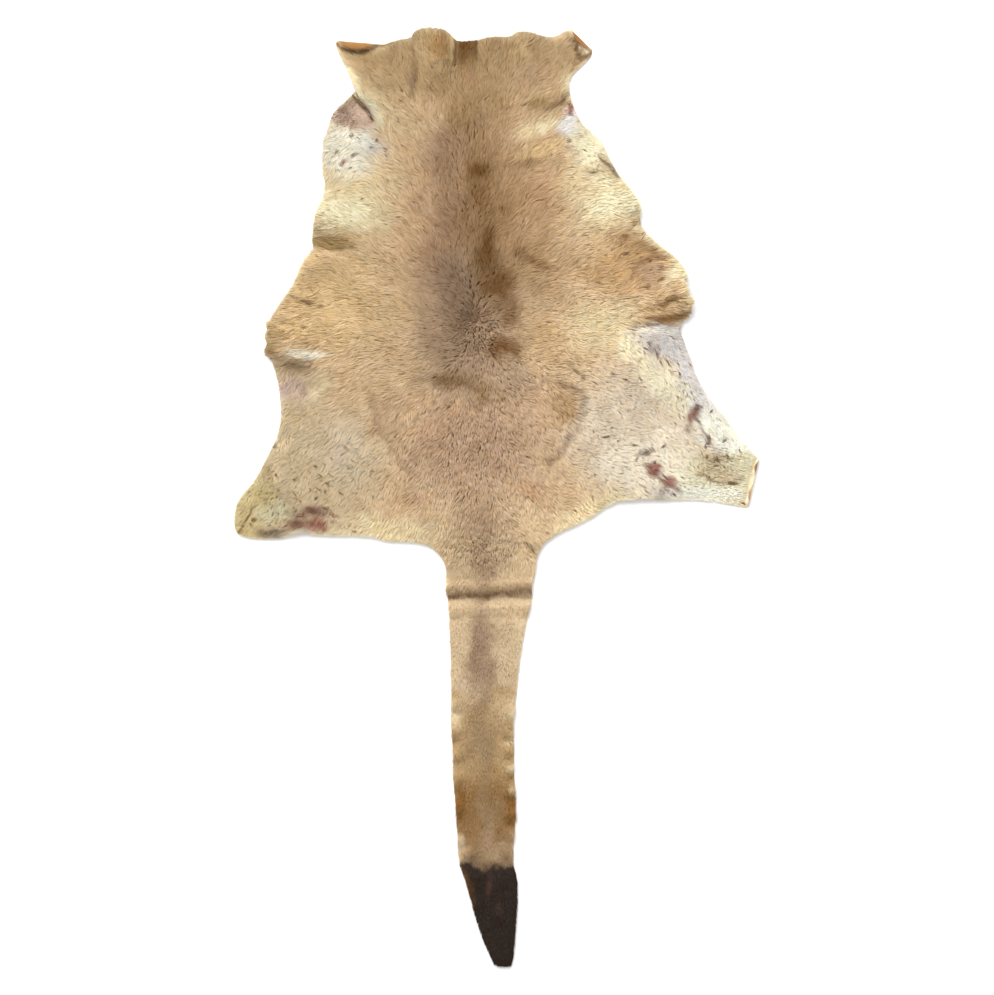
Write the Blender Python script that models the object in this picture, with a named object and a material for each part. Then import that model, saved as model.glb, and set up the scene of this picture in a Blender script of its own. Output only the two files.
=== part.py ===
"""A kangaroo hide, tanned with its hair on, lying hair side up on a floor with its tail.

Metres, +Z up. +Y points to the neck and -Y to the tail. The origin is on the floor, under the
middle of the hide. The tables are in millimetres and hold the hide as it is cut, before its
three rolled edges are turned over.
"""

import math
from collections import namedtuple

import bmesh
import bpy
from mathutils import Vector, kdtree, noise
from mathutils.geometry import delaunay_2d_cdt, interpolate_bezier

MM = 0.001

# Driving dimensions of the hide
HIDE_LENGTH = 1.598
HIDE_WIDTH = 0.894
LEATHER = 0.002
BODY_PILE = 0.010
TAIL_PILE = 0.005
TAIL_TIP_PILE = 0.007
TAIL_ROOT_Y = -0.100
DARK_TIP_Y = -0.622

# The tables were laid out at this size
TABLE_LENGTH = 1598
TABLE_WIDTH = 894

# Distances between the points of the mesh
RIM_STEP = 0.010
LOCK_STEP = 0.005
INNER_STEP = 0.026
ROLL_STEP = 0.004
FOLD_STEP = 0.0105
RIM_BAND = 0.018
CREASE_BAND = 0.014
LEAST_RISE = 0.0006
CURVE_STEPS = 16
ROW_SHARE = math.sqrt(3) / 2
CLEARANCE = 0.7
MERGE = 1e-5

# How folds and rolls fade out: past their ends as shares of their length, else in metres
FOLD_FADE = 0.12
LIP_FADE = 0.4
ROLL_FADE = 0.25
ROLL_MARGIN = 0.008
ROLL_FLAP = 0.045
ROLL_THINNING = 0.026
TAIL_BLEND = 0.080
TIP_BLEND = 0.020

# How the pile rounds off at the rim
RIM_SHARE = 0.35
RIM_ROUNDING = 0.020

# Unevenness of the pile
LUMP_HEIGHT = 0.0012
LUMP_SIZE = 0.045
SEED = Vector((3.7, 1.9, 0.4))

SUEDE_COLOUR = (0.48, 0.26, 0.11)
SUEDE_ROUGHNESS = 0.85
HAIR_COLOUR = (0.42, 0.29, 0.16)
HAIR_ROUGHNESS = 0.7
SLIT_MOUTH = "mouth of the left slit"

Section = namedtuple("Section", "name y left right")
Edge = namedtuple("Edge", "name x y")
Fold = namedtuple("Fold", "name x0 y0 x1 y1 left right rise end_rise")
Bump = namedtuple("Bump", "name x y across along rise")
Patch = namedtuple("Patch", "name x y across along pile")
Crease = namedtuple("Crease", "name half_width depth path")
Roll = namedtuple("Roll", "name x0 y0 x1 y1 radius")
Lip = namedtuple("Lip", "name x0 y0 x1 y1 reach rise over")
Locks = namedtuple("Locks", "name x y reach length")

# The neck edge, from its left corner to its right one, with the two flaps that are rolled over
NECK_EDGE = [
    Edge("left corner", -275, 771),
    Edge("left flap", -268, 786),
    Edge("left flap", -254, 796),
    Edge("left flap, deepest", -238, 799),
    Edge("left flap", -222, 794),
    Edge("left flap", -208, 782),
    Edge("left flap ends", -196, 775),
    Edge("plain edge", -164, 781),
    Edge("foot of the left pucker", -147, 784),
    Edge("left pucker", -135, 796),
    Edge("left pucker, crown", -120, 799),
    Edge("left pucker", -96, 796),
    Edge("left pucker", -80, 788),
    Edge("sunken pleat", -69, 779),
    Edge("sunken pleat", -38, 779),
    Edge("plain edge", -11, 784),
    Edge("plain edge", 23, 786),
    Edge("right pucker", 38, 793),
    Edge("right pucker, crown", 49, 794),
    Edge("plain edge", 74, 787),
    Edge("plain edge", 91, 783),
    Edge("plain edge", 108, 787),
    Edge("right flap", 121, 793),
    Edge("right flap", 134, 799),
    Edge("right flap, deepest", 150, 795),
    Edge("right flap", 160, 784),
]

# The body, from the neck corners down to the hind feet
BODY = [
    Section("neck corners", 768, -273, 165),
    Section("neck", 751, -266, 160),
    Section("neck", 736, -258, 144),
    Section("neck", 719, -247, 128),
    Section("neck waist", 708, -241, 124),
    Section("mouth of the left slit", 699, -237, 124),
    Section("left foreleg, corner", 692, -240, 125),
    Section("left foreleg", 685, -247, 126),
    Section("left foreleg", 676, -257, 129),
    Section("left foreleg", 664, -270, 133),
    Section("left foreleg", 652, -280, 139),
    Section("forelegs", 634, -287, 148),
    Section("right armpit", 624, -290, 159),
    Section("forelegs", 612, -295, 176),
    Section("forelegs", 590, -298, 188),
    Section("forelegs", 571, -298, 196),
    Section("behind the forelegs", 549, -297, 209),
    Section("left waist", 536, -293, 219),
    Section("chest", 507, -298, 241),
    Section("chest", 488, -307, 248),
    Section("notch on the right", 473, -311, 243),
    Section("chest", 457, -313, 252),
    Section("valley on the left", 439, -315, 270),
    Section("flank", 422, -313, 289),
    Section("flank", 404, -325, 311),
    Section("flank", 384, -337, 324),
    Section("flank", 359, -350, 325),
    Section("flank", 337, -366, 335),
    Section("flank", 322, -375, 335),
    Section("flank", 306, -385, 323),
    Section("under the right ridge", 289, -394, 313),
    Section("flank", 272, -394, 318),
    Section("left ridge", 247, -394, 327),
    Section("groin", 234, -384, 331),
    Section("groin", 204, -376, 342),
    Section("groin", 172, -370, 362),
    Section("thigh", 141, -368, 387),
    Section("thigh", 107, -374, 412),
    Section("thigh", 76, -388, 437),
]

# The rest of the left hind foot and the rump, towards the tail
LEFT_RUMP = [
    Edge("foot", -401, 52),
    Edge("foot", -417, 24),
    Edge("foot", -436, 2),
    Edge("foot", -445, -16),
    Edge("foot corner", -447, -50),
    Edge("foot corner", -440, -64),
    Edge("rump edge", -400, -71),
    Edge("rump edge", -362, -69),
    Edge("rump edge", -332, -60),
    Edge("rump edge", -310, -65),
    Edge("rump edge", -215, -68),
    Edge("rump edge", -190, -75),
    Edge("rump edge", -124, -80),
    Edge("beside the tail", -99, -97),
]

# The tail, from its root to its blunt end
TAIL = [
    Section("root", -122, -86, 67),
    Section("above the crease", -154, -88, 60),
    Section("crease", -169, -85, 62),
    Section("under the crease", -194, -82, 55),
    Section("upper tail", -241, -81, 47),
    Section("upper tail", -289, -80, 39),
    Section("upper tail", -335, -79, 36),
    Section("middle", -381, -80, 31),
    Section("middle", -428, -76, 32),
    Section("middle", -465, -76, 32),
    Section("lower tail", -513, -73, 35),
    Section("lower tail", -560, -69, 34),
    Section("lower tail", -600, -68, 31),
    Section("start of the dark tip", -626, -64, 31),
    Section("dark tip", -648, -55, 37),
    Section("dark tip", -680, -46, 37),
    Section("dark tip", -717, -36, 35),
    Section("dark tip", -755, -23, 32),
    Section("blunt end", -790, -7, 30),
    Section("blunt end", -799, -2, 29),
]

# From the tail along the right rump to the right hind foot, with the flap that curls up
RIGHT_RUMP = [
    Edge("beside the tail", 74, -92),
    Edge("rump edge", 88, -73),
    Edge("rump edge", 125, -53),
    Edge("rump edge", 159, -37),
    Edge("rump edge", 184, -19),
    Edge("rump edge", 213, -7),
    Edge("rump edge", 300, -4),
    Edge("rump edge", 354, -6),
    Edge("rump edge", 408, -13),
    Edge("foot corner", 428, -17),
    Edge("curled edge", 441, -4),
    Edge("curled edge, deep", 446, 9),
    Edge("curled edge, shallow", 443, 32),
    Edge("curled edge, deep", 456, 50),
    Edge("foot corner", 450, 64),
]

# The slit between the neck and the left foreleg: down its neck side, then back up the other
SLIT = [
    Edge("neck side", -229, 684),
    Edge("neck side", -216, 658),
    Edge("closed end", -212, 646),
    Edge("foreleg side", -221, 657),
    Edge("foreleg side", -232, 679),
]

# Edges rolled over the hair: an axis, the outside on its left, and the radius of the leather
ROLLS = [
    Roll("left neck corner", -280, 770, -192, 763, 8),
    Roll("right neck corner", 127, 790, 156, 761, 5.5),
    Roll("right hind foot", 441, 61, 424, -15, 5),
]

# Ridges: from the rim inwards, with a width on each hand and the rise at both ends
FOLDS = [
    Fold("left pucker of the neck", -106, 802, -94, 668, 28, 37, 20, 0),
    Fold("beside the sunken pleat", -8, 790, -10, 706, 42, 26, 9, 0),
    Fold("right pucker of the neck", 47, 798, 58, 722, 46, 13, 14, 0),
    Fold("right neck corner", 122, 790, 104, 715, 30, 30, 7, 0),
    Fold("beside the rolled corner", -176, 782, -196, 722, 28, 28, 6, 0),
    Fold("above the left valley", -318, 462, -205, 450, 46, 18, 15, 0),
    Fold("below the left valley", -322, 400, -212, 402, 18, 50, 13, 0),
    Fold("shelf on the right flank", 250, 490, 150, 502, 14, 50, 14, 0),
    Fold("right flank ridge", 338, 334, 214, 322, 22, 55, 20, 0),
    Fold("left flank ridge", -396, 262, -286, 250, 48, 20, 16, 0),
    Fold("tail, above its crease", -90, -154, 64, -152, 18, 11, 6, 6),
    Fold("tail, below its crease", -88, -185, 60, -183, 11, 20, 5, 5),
]

# Places where the rim lifts off the floor
BUMPS = [
    Bump("left foreleg", -298, 598, 45, 60, 7),
    Bump("right foreleg", 196, 590, 40, 50, 9),
    Bump("right thigh", 380, 165, 40, 60, 8),
    Bump("left thigh", -372, 135, 35, 60, 6),
    Bump("left rump", -330, -62, 40, 35, 6),
    Bump("right rump", 250, -4, 70, 30, 5),
]

# The small ripples of the tail's two rims
TAIL_RIPPLE = Bump("tail ripple", 0, 0, 26, 15, 7)
RIGHT_RIPPLE_X = 33
RIGHT_RIPPLES = [-364, -398, -425, -457, -501, -540, -573]
LEFT_RIPPLE_X = -76
LEFT_RIPPLES = [-350, -394, -435, -478, -530, -581]

# The neck lies over the left foreleg along the slit: its side is on the line's left
LIPS = [Lip("neck over the left foreleg", -239, 696, -211, 645, 42, 10, 6)]

# Height of the pile where it differs from that of the body
PATCHES = [
    Patch("long hair of the right flank", 285, 375, 90, 90, 14),
    Patch("long hair of the left flank", -340, 320, 80, 80, 13),
    Patch("bare left armpit", -236, 650, 30, 36, 0.5),
    Patch("bare right armpit", 134, 662, 16, 24, 1),
    Patch("thin left groin", -360, 200, 40, 45, 1),
    Patch("thin right groin", 298, 245, 60, 50, 4),
    Patch("bare patch, left foot", -303, -46, 26, 22, 1),
    Patch("left foot", -410, -20, 60, 60, 6),
    Patch("right foot", 400, 30, 70, 60, 6),
    Patch("bare patches, right thigh", 282, 28, 26, 26, 2),
    Patch("bare patch, right thigh", 333, 135, 16, 34, 2),
]

# Lines where the hair parts
CREASES = [
    Crease("right thigh", 9, 4, [(108, 192), (150, 172), (149, 145), (137, 116), (116, 85), (86, 60)]),
    Crease("left thigh", 9, 3, [(-215, 167), (-201, 124), (-184, 90), (-167, 68), (-144, 51)]),
    Crease("right of the tail root", 5, 3, [(48, -75), (74, -98)]),
    Crease("left foot", 5, 3, [(-412, -12), (-425, -38), (-446, -60)]),
    Crease("across the tail", 7, 4, [(-88, -168), (-15, -171), (64, -166)]),
    Crease("left of the left pucker", 8, 4, [(-140, 786), (-144, 730), (-150, 690)]),
    Crease("pleat, left side", 6, 4, [(-72, 784), (-70, 735)]),
    Crease("pleat, right side", 6, 3, [(-38, 782), (-36, 745)]),
]

# Rims where the long hair ends in ragged locks
RAGGED = [
    Locks("right flank", 332, 340, 62, 7),
    Locks("right shoulder of the flank", 262, 440, 30, 3),
    Locks("left flank", -396, 272, 46, 7),
]

# How far each rim point in turn is in or out, as a share of the length of the locks there
LOCK_PATTERN = [0.3, -0.4, -0.9, 0.2, 0.4, -0.7, 0.1, -1.0, -0.3, 0.4, -0.2, -0.8, 0.0]

WIDE = HIDE_WIDTH / TABLE_WIDTH
LONG = HIDE_LENGTH / TABLE_LENGTH


def place(x, y):
    """A point of the tables, in metres."""
    return Vector((x * WIDE, y * LONG))


def smooth(share):
    """An S-curve from 0 to 1."""
    share = min(max(share, 0.0), 1.0)
    return share * share * (3 - 2 * share)


def bell(offset, reach):
    """1 at no offset, falling softly to 0 at the reach."""
    return smooth(1 - abs(offset) / reach)


def oval(point, row):
    """A soft oval weight, 1 at the middle of a row's place and 0 at its reach."""
    off = point - place(row.x, row.y)
    return bell(math.hypot(off.x / (row.across * MM), off.y / (row.along * MM)), 1.0)


def against(point, row):
    """The share of the way along a row's line, and the distance to the left of it."""
    start = place(row.x0, row.y0)
    line = place(row.x1, row.y1) - start
    off = point - start
    return off.dot(line) / line.length_squared, line.cross(off) / line.length


def from_path(point, path):
    """The distance from a point to a broken line."""
    nearest = math.inf
    for start, end in zip(path, path[1:]):
        line = end - start
        share = min(max((point - start).dot(line) / line.length_squared, 0.0), 1.0)
        nearest = min(nearest, (start + line * share - point).length)
    return nearest


def stations():
    """The corners of the cut hide, counterclockwise from the left corner of the neck."""
    mouth = [row.name for row in BODY].index(SLIT_MOUTH) + 1
    left = [(row.left, row.y) for row in BODY]
    points = left[:mouth] + [(row.x, row.y) for row in SLIT] + left[mouth:]
    points += [(row.x, row.y) for row in LEFT_RUMP]
    points += [(row.left, row.y) for row in TAIL]
    points += [(row.right, row.y) for row in reversed(TAIL)]
    points += [(row.x, row.y) for row in RIGHT_RUMP]
    points += [(row.right, row.y) for row in reversed(BODY)]
    points += [(row.x, row.y) for row in reversed(NECK_EDGE)]
    return [place(x, y) for x, y in points]


def rim_curve():
    """The cut edge as a smooth, closed line of many points."""
    points = stations()
    after = points[1:] + points[:1]
    before = points[-1:] + points[:-1]
    headings = []
    for last, here, following in zip(before, points, after):
        headings.append((following - last) / ((here - last).length + (following - here).length))
    curve = []
    for i, (here, following) in enumerate(zip(points, after)):
        third = (following - here).length / 3
        leave = here + headings[i] * third
        arrive = following - headings[(i + 1) % len(points)] * third
        curve += interpolate_bezier(here, leave, arrive, following, CURVE_STEPS)[:-1]
    return curve


def turning(point, row):
    """How much of a roll there is at a point: 1 along its axis, fading out past both ends."""
    share = against(point, row)[0]
    return smooth(1 - max(-share, share - 1, 0.0) / ROLL_FADE)


def in_roll(point):
    """Whether a point is on one of the rolled flaps or beside it."""
    for row in ROLLS:
        beyond = against(point, row)[1]
        if turning(point, row) > 0 and -ROLL_MARGIN < beyond < ROLL_FLAP:
            return True
    return False


def raggedness(point):
    """The length of the locks at a place on the rim."""
    lengths = [row.length * MM * bell((point - place(row.x, row.y)).length, row.reach * MM) for row in RAGGED]
    return max(lengths)


def beside_slit(point):
    """Whether a point is on the slit's edges or close to them."""
    return any(from_path(point, [place(row.x0, row.y0), place(row.x1, row.y1)]) < CREASE_BAND for row in LIPS)


def rim_step(point):
    """The distance between rim points at a place."""
    if in_roll(point) or beside_slit(point) or raggedness(point) > 0:
        return LOCK_STEP
    return RIM_STEP


def rim_points():
    """The rim at the mesh's own steps, with its locks."""
    curve = rim_curve()
    points = [curve[0]]
    walked = 0.0
    for last, here in zip(curve, curve[1:]):
        walked += (here - last).length
        if walked >= rim_step(here):
            points.append(here)
            walked = 0.0
    if walked < LOCK_STEP:
        points.pop()
    ragged = []
    for i, here in enumerate(points):
        along = (points[(i + 1) % len(points)] - points[i - 1]).normalized()
        outwards = Vector((along.y, -along.x))
        ragged.append(here + outwards * raggedness(here) * LOCK_PATTERN[i % len(LOCK_PATTERN)])
    return ragged


def is_inside(point, rim):
    """Whether a point is within the rim."""
    inside = False
    for a, b in zip(rim, rim[1:] + rim[:1]):
        if (a.y > point.y) != (b.y > point.y):
            if point.x < a.x + (b.x - a.x) * (point.y - a.y) / (b.y - a.y):
                inside = not inside
    return inside


def tree_of(points):
    """A search tree of flat points."""
    tree = kdtree.KDTree(len(points))
    for i, point in enumerate(points):
        tree.insert(point.to_3d(), i)
    tree.balance()
    return tree


def in_fold(point):
    """Whether a point is on the rippled tail, on a fold or beside a crease."""
    if point.y < TAIL_ROOT_Y:
        return True
    for row in CREASES:
        if from_path(point, [place(x, y) for x, y in row.path]) < CREASE_BAND:
            return True
    return lift(point) > LEAST_RISE


def inner_points(rim):
    """Points within the rim, on ever wider grids: rolls first, then folds and the rim, then the rest."""
    points = list(rim)
    rim_tree = tree_of(rim)
    for step, wanted in (
        (ROLL_STEP, lambda point, off: in_roll(point)),
        (FOLD_STEP, lambda point, off: off < RIM_BAND or in_fold(point)),
        (INNER_STEP, lambda point, off: True),
    ):
        taken = tree_of(points)
        rows = int(HIDE_LENGTH / (step * ROW_SHARE))
        columns = int(HIDE_WIDTH / step)
        for row in range(-rows // 2 - 2, rows // 2 + 3):
            for column in range(-columns // 2 - 2, columns // 2 + 3):
                point = Vector(((column + row % 2 / 2) * step, row * step * ROW_SHARE))
                off = rim_tree.find(point.to_3d())[2]
                if not wanted(point, off) or taken.find(point.to_3d())[2] < CLEARANCE * step:
                    continue
                if is_inside(point, rim):
                    points.append(point)
    return points


def ridge(point, row):
    """The rise of one fold at a point."""
    share, left = against(point, row)
    half_width = (row.left if left > 0 else row.right) * MM
    rise = row.rise + (row.end_rise - row.rise) * smooth(share)
    ends = smooth(1 - max(-share, share - 1, 0.0) / FOLD_FADE)
    return rise * MM * ends * bell(left, half_width)


def lipped(point, row):
    """How much a point belongs to the raised side of the slit, from 0 to 1."""
    share, left = against(point, row)
    if left < 0:
        return 0.0
    off = from_path(point, [place(row.x0, row.y0), place(row.x1, row.y1)])
    return bell(off, row.reach * MM) * smooth((1 - share) / LIP_FADE)


def left_of(row):
    """The direction to the left of a row's line."""
    along = (place(row.x1, row.y1) - place(row.x0, row.y0)).normalized()
    return Vector((-along.y, along.x))


def lift(point):
    """How far the leather's underside is off the floor."""
    height = sum(ridge(point, row) for row in FOLDS)
    height += sum(row.rise * MM * lipped(point, row) for row in LIPS)
    height += sum(row.rise * MM * oval(point, row) for row in BUMPS)
    for x, rises in ((RIGHT_RIPPLE_X, RIGHT_RIPPLES), (LEFT_RIPPLE_X, LEFT_RIPPLES)):
        for y in rises:
            height += TAIL_RIPPLE.rise * MM * oval(point, TAIL_RIPPLE._replace(x=x, y=y))
    return height


def pile(point, off):
    """The height of the hair at a point that is off from the rim."""
    height = BODY_PILE + (TAIL_PILE - BODY_PILE) * smooth((TAIL_ROOT_Y - point.y) / TAIL_BLEND)
    height += (TAIL_TIP_PILE - TAIL_PILE) * smooth((DARK_TIP_Y - point.y) / TIP_BLEND)
    for row in PATCHES:
        height += (row.pile * MM - height) * oval(point, row)
    for row in CREASES:
        path = [place(x, y) for x, y in row.path]
        height -= row.depth * MM * bell(from_path(point, path), row.half_width * MM)
    height += LUMP_HEIGHT * noise.noise(point.to_3d() / LUMP_SIZE + SEED)
    height *= RIM_SHARE + (1 - RIM_SHARE) * smooth(off / RIM_ROUNDING)
    for row in ROLLS:
        beyond = against(point, row)[1]
        height *= 1 - turning(point, row) * smooth((beyond + ROLL_THINNING) / ROLL_THINNING)
    return max(height, 0.0)


def laid(point):
    """Where the leather's underside lies at a point of the cut hide, with its edges rolled over."""
    height = lift(point)
    over = sum((left_of(row) * row.over * MM * lipped(point, row) for row in LIPS), Vector((0, 0)))
    point = point - over
    for row in ROLLS:
        beyond = against(point, row)[1]
        bend = turning(point, row) / (row.radius * MM)
        if beyond > 0 and bend > 0:
            point = point + left_of(row) * (math.sin(bend * beyond) / bend - beyond)
            height += (1 - math.cos(bend * beyond)) / bend
    return Vector((point.x, point.y, height))


def hide_mesh():
    """The leather's underside as one sheet of triangles, and how thick the hide is at each point."""
    rim = rim_points()
    flat = inner_points(rim)
    hem = [(i, (i + 1) % len(rim)) for i in range(len(rim))]
    flat, _, faces, _, _, _ = delaunay_2d_cdt(flat, hem, [], 1, MERGE)
    rim_tree = tree_of(rim)
    bm = bmesh.new()
    thickness = []
    for point in flat:
        bm.verts.new(laid(point))
        thickness.append(LEATHER + pile(point, rim_tree.find(point.to_3d())[2]))
    bm.verts.ensure_lookup_table()
    for a, b, c in faces:
        if (flat[b] - flat[a]).cross(flat[c] - flat[a]) < 0:
            b, c = c, b
        bm.faces.new([bm.verts[i] for i in (a, b, c)])
    mesh = bpy.data.meshes.new("hide")
    bm.to_mesh(mesh)
    bm.free()
    return mesh, thickness


def finish(name, colour, roughness):
    """A plain material."""
    material = bpy.data.materials.new(name)
    material.use_nodes = True
    shader = material.node_tree.nodes["Principled BSDF"]
    shader.inputs["Base Color"].default_value = (*colour, 1)
    shader.inputs["Roughness"].default_value = roughness
    shader.inputs["Metallic"].default_value = 0
    return material


def centre_on_floor(hide):
    """Moves the mesh so that the origin is on the floor under the middle of the hide."""
    solid = hide.evaluated_get(bpy.context.evaluated_depsgraph_get())
    corners = [Vector(corner) for corner in solid.bound_box]
    lowest = Vector([min(corner[i] for corner in corners) for i in range(3)])
    highest = Vector([max(corner[i] for corner in corners) for i in range(3)])
    middle = (lowest + highest) / 2
    for vertex in hide.data.vertices:
        vertex.co -= Vector((middle.x, middle.y, lowest.z))


def build_hide():
    """The hide: a sheet of leather that is thickened upwards by its hair."""
    mesh, thickness = hide_mesh()
    hide = bpy.data.objects.new("hide", mesh)
    bpy.context.scene.collection.objects.link(hide)
    mesh.materials.append(finish("hair", HAIR_COLOUR, HAIR_ROUGHNESS))
    mesh.materials.append(finish("suede", SUEDE_COLOUR, SUEDE_ROUGHNESS))
    most = max(thickness)
    group = hide.vertex_groups.new(name="thickness")
    for i, value in enumerate(thickness):
        group.add([i], value / most, "REPLACE")
    solidify = hide.modifiers.new("leather and hair", "SOLIDIFY")
    solidify.thickness = most
    solidify.offset = 1
    solidify.vertex_group = group.name
    solidify.material_offset = 1
    centre_on_floor(hide)
    mesh.shade_smooth()
    return hide


def main():
    for old in list(bpy.data.objects):
        bpy.data.objects.remove(old)
    build_hide()


main()
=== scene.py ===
# %% [markdown]
# # A kangaroo hide
#
# The real thing is the tanned skin of one kangaroo, with its hair and its tail, lying hair side up.
# It is one thin sheet of leather with a dense coat of hair on it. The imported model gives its
# size, its outline and the way it lies. This file adds what the eye sees: the skin, the suede of the
# turned-over corners, and the coat, which is combed and coloured place by place.

import math
from collections import namedtuple

import bmesh
import bpy
import numpy as np
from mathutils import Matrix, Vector
from mathutils.bvhtree import BVHTree


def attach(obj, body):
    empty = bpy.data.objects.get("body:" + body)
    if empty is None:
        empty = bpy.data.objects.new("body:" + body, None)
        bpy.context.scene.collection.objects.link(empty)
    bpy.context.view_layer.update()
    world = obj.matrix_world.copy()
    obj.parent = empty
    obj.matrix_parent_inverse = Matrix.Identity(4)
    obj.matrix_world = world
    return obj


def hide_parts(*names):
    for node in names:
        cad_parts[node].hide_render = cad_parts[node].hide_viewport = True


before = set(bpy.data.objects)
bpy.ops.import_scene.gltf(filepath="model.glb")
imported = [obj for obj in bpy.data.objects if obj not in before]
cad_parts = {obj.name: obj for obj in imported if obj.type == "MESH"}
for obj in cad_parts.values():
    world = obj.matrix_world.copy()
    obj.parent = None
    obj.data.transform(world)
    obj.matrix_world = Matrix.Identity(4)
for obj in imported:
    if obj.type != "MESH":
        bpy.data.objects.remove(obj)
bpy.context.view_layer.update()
packed_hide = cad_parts["hide"]

# %% [markdown]
# ## Places on the hide
#
# Markings, folds and the comb's direction are all placed from the photograph, so the tables give
# places in its pixels. The hide is seen from straight above, so one pixel is 1.7 mm everywhere,
# and one small function turns a place into metres. Working on many places at once, as rows of an
# array, keeps the coat quick to make.

# %% Turn places in the photograph into metres
MM = 0.001
PIXEL = 1.7 * MM
MIDDLE = np.array([496.5, 498.0])


def on_hide(places):
    """Places in the photograph, as rows of x and y in pixels, in metres on the hide."""
    return (np.asarray(places, float) - MIDDLE) * [PIXEL, -PIXEL]


def in_photo(points):
    """Points on the hide, in metres, as places in the photograph."""
    return np.asarray(points, float)[..., :2] / [PIXEL, -PIXEL] + MIDDLE


print("tip of the tail is at", on_hide([504, 967]).round(3), "m")


# %% [markdown]
# ## Find the leather inside the solid
#
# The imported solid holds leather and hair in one: its underside is the suede, and its top is where
# the hair ends. A walk over the underside, which never steps over a sharp edge, finds the suede. The
# faces that touch it but don't belong to it are the cut rim, and all the rest is the top.

# %% Part the solid into suede, rim and hair side
SHARP = math.radians(50)
FLOOR_FACE = -0.95
FLOOR_HEIGHT = 0.3 * MM


def suede_faces(bm):
    """The faces of the underside, walked to from those that lie on the floor."""
    found = {face for face in bm.faces
             if face.normal.z < FLOOR_FACE and face.calc_center_median().z < FLOOR_HEIGHT}
    waiting = list(found)
    while waiting:
        for edge in waiting.pop().edges:
            if edge.calc_face_angle() < SHARP:
                fresh = [face for face in edge.link_faces if face not in found]
                found.update(fresh)
                waiting += fresh
    return found


solid = bmesh.new()
solid.from_mesh(packed_hide.data)
bmesh.ops.remove_doubles(solid, verts=solid.verts, dist=1e-6)
solid.normal_update()
suede_side = suede_faces(solid)
suede_points = {vertex for face in suede_side for vertex in face.verts}
hair_side = [face for face in solid.faces
             if face not in suede_side and not suede_points.intersection(face.verts)]
print(len(suede_side), "faces of suede and", len(hair_side), "of hair side")

# %% [markdown]
# The hair side has evenly spread points, so the new sheet of leather borrows them: each point drops
# back through the hair until it meets the suede. How far it drops is how deep the hair is there,
# and is kept for later. A point on the rim simply goes to the suede's rim straight across from it.

# %% Drop the hair side's points onto the suede
suede_tree = BVHTree.FromPolygons(
    [vertex.co for vertex in solid.verts],
    [[vertex.index for vertex in face.verts] for face in suede_side],
)
hair_tree = BVHTree.FromPolygons(
    [vertex.co for vertex in solid.verts],
    [[vertex.index for vertex in face.verts] for face in hair_side],
)


def under_hair(vertex, normal):
    """Where the suede is under a point of the hair side."""
    across = [edge.other_vert(vertex) for edge in vertex.link_edges]
    across = [other for other in across if other in suede_points]
    if across:
        return min(across, key=lambda other: (other.co - vertex.co).length).co.copy()
    hit = suede_tree.ray_cast(vertex.co, -normal)[0]
    if hit is None:
        hit = suede_tree.find_nearest(vertex.co)[0]
    return hit


def leather_mesh():
    """The sheet of leather, on the points of the hair side."""
    points = sorted({vertex for face in hair_side for vertex in face.verts}, key=lambda v: v.index)
    place_of = {vertex: i for i, vertex in enumerate(points)}
    normals = {vertex: Vector() for vertex in points}
    for face in hair_side:
        for vertex in face.verts:
            normals[vertex] += face.normal * face.calc_area()
    mesh = bpy.data.meshes.new("leather")
    drops = [under_hair(vertex, normals[vertex].normalized()) for vertex in points]
    mesh.from_pydata(drops, [], [[place_of[vertex] for vertex in face.verts] for face in hair_side])
    return mesh


leather = bpy.data.objects.new("leather", leather_mesh())
bpy.context.scene.collection.objects.link(leather)
solid.free()
print("leather:", len(leather.data.vertices), "points")

# %% [markdown]
# Hair hangs a little over the cut edge all round, so the leather under it ends a few millimetres
# short of the outline. Where the solid's rim has teeth, they stand for locks of hair, so the leather's
# rim is first evened out there, and then it is drawn in. Three rolled corners and the slit by the left
# armpit show their bare edge and are left as they are.

# %% Even out the rim and draw it in
RIM_INSET = 2.5 * MM
RIM_ROUNDS = 4
BARE_EDGES = on_hide([[358, 46], [578, 44], [751, 486], [362, 104]])
BARE_REACH = 0.062
TOOTHED_EDGES = on_hide([[692, 300], [650, 240], [265, 338]])
TOOTHED_REACH = 0.065


def near(vertex, places, reach):
    """Whether a point of the rim is within reach of one of some places."""
    return np.linalg.norm(places - np.array(vertex.co.xy), axis=1).min() < reach


def draw_in_rim(mesh):
    """Evens out the leather's rim and moves it inwards."""
    bm = bmesh.new()
    bm.from_mesh(mesh)
    rim = [vertex for vertex in bm.verts if vertex.is_boundary]
    beside = {}
    for vertex in rim:
        ends = [edge.other_vert(vertex) for edge in vertex.link_edges if edge.is_boundary]
        inner = [edge.other_vert(vertex) for edge in vertex.link_edges if not edge.is_boundary]
        beside[vertex] = ends, inner
    toothed = [vertex for vertex in rim if near(vertex, TOOTHED_EDGES, TOOTHED_REACH)]
    free = [vertex for vertex in rim if not near(vertex, BARE_EDGES, BARE_REACH)]
    for _ in range(RIM_ROUNDS):
        moved = {}
        for vertex in toothed:
            ends = beside[vertex][0]
            moved[vertex] = vertex.co / 2 + sum((end.co for end in ends), Vector()) / (2 * len(ends))
        for vertex, point in moved.items():
            vertex.co = point
    moved = {}
    for vertex in free:
        first, last = beside[vertex][0][:2]
        along = (last.co - first.co).normalized()
        inwards = sum((other.co - vertex.co for other in beside[vertex][1]), Vector())
        inwards -= along * inwards.dot(along)
        moved[vertex] = vertex.co + inwards.normalized() * RIM_INSET
    for vertex, point in moved.items():
        vertex.co = point
    bm.to_mesh(mesh)
    bm.free()
    return len(free)


print("rim points drawn in:", draw_in_rim(leather.data))

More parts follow.
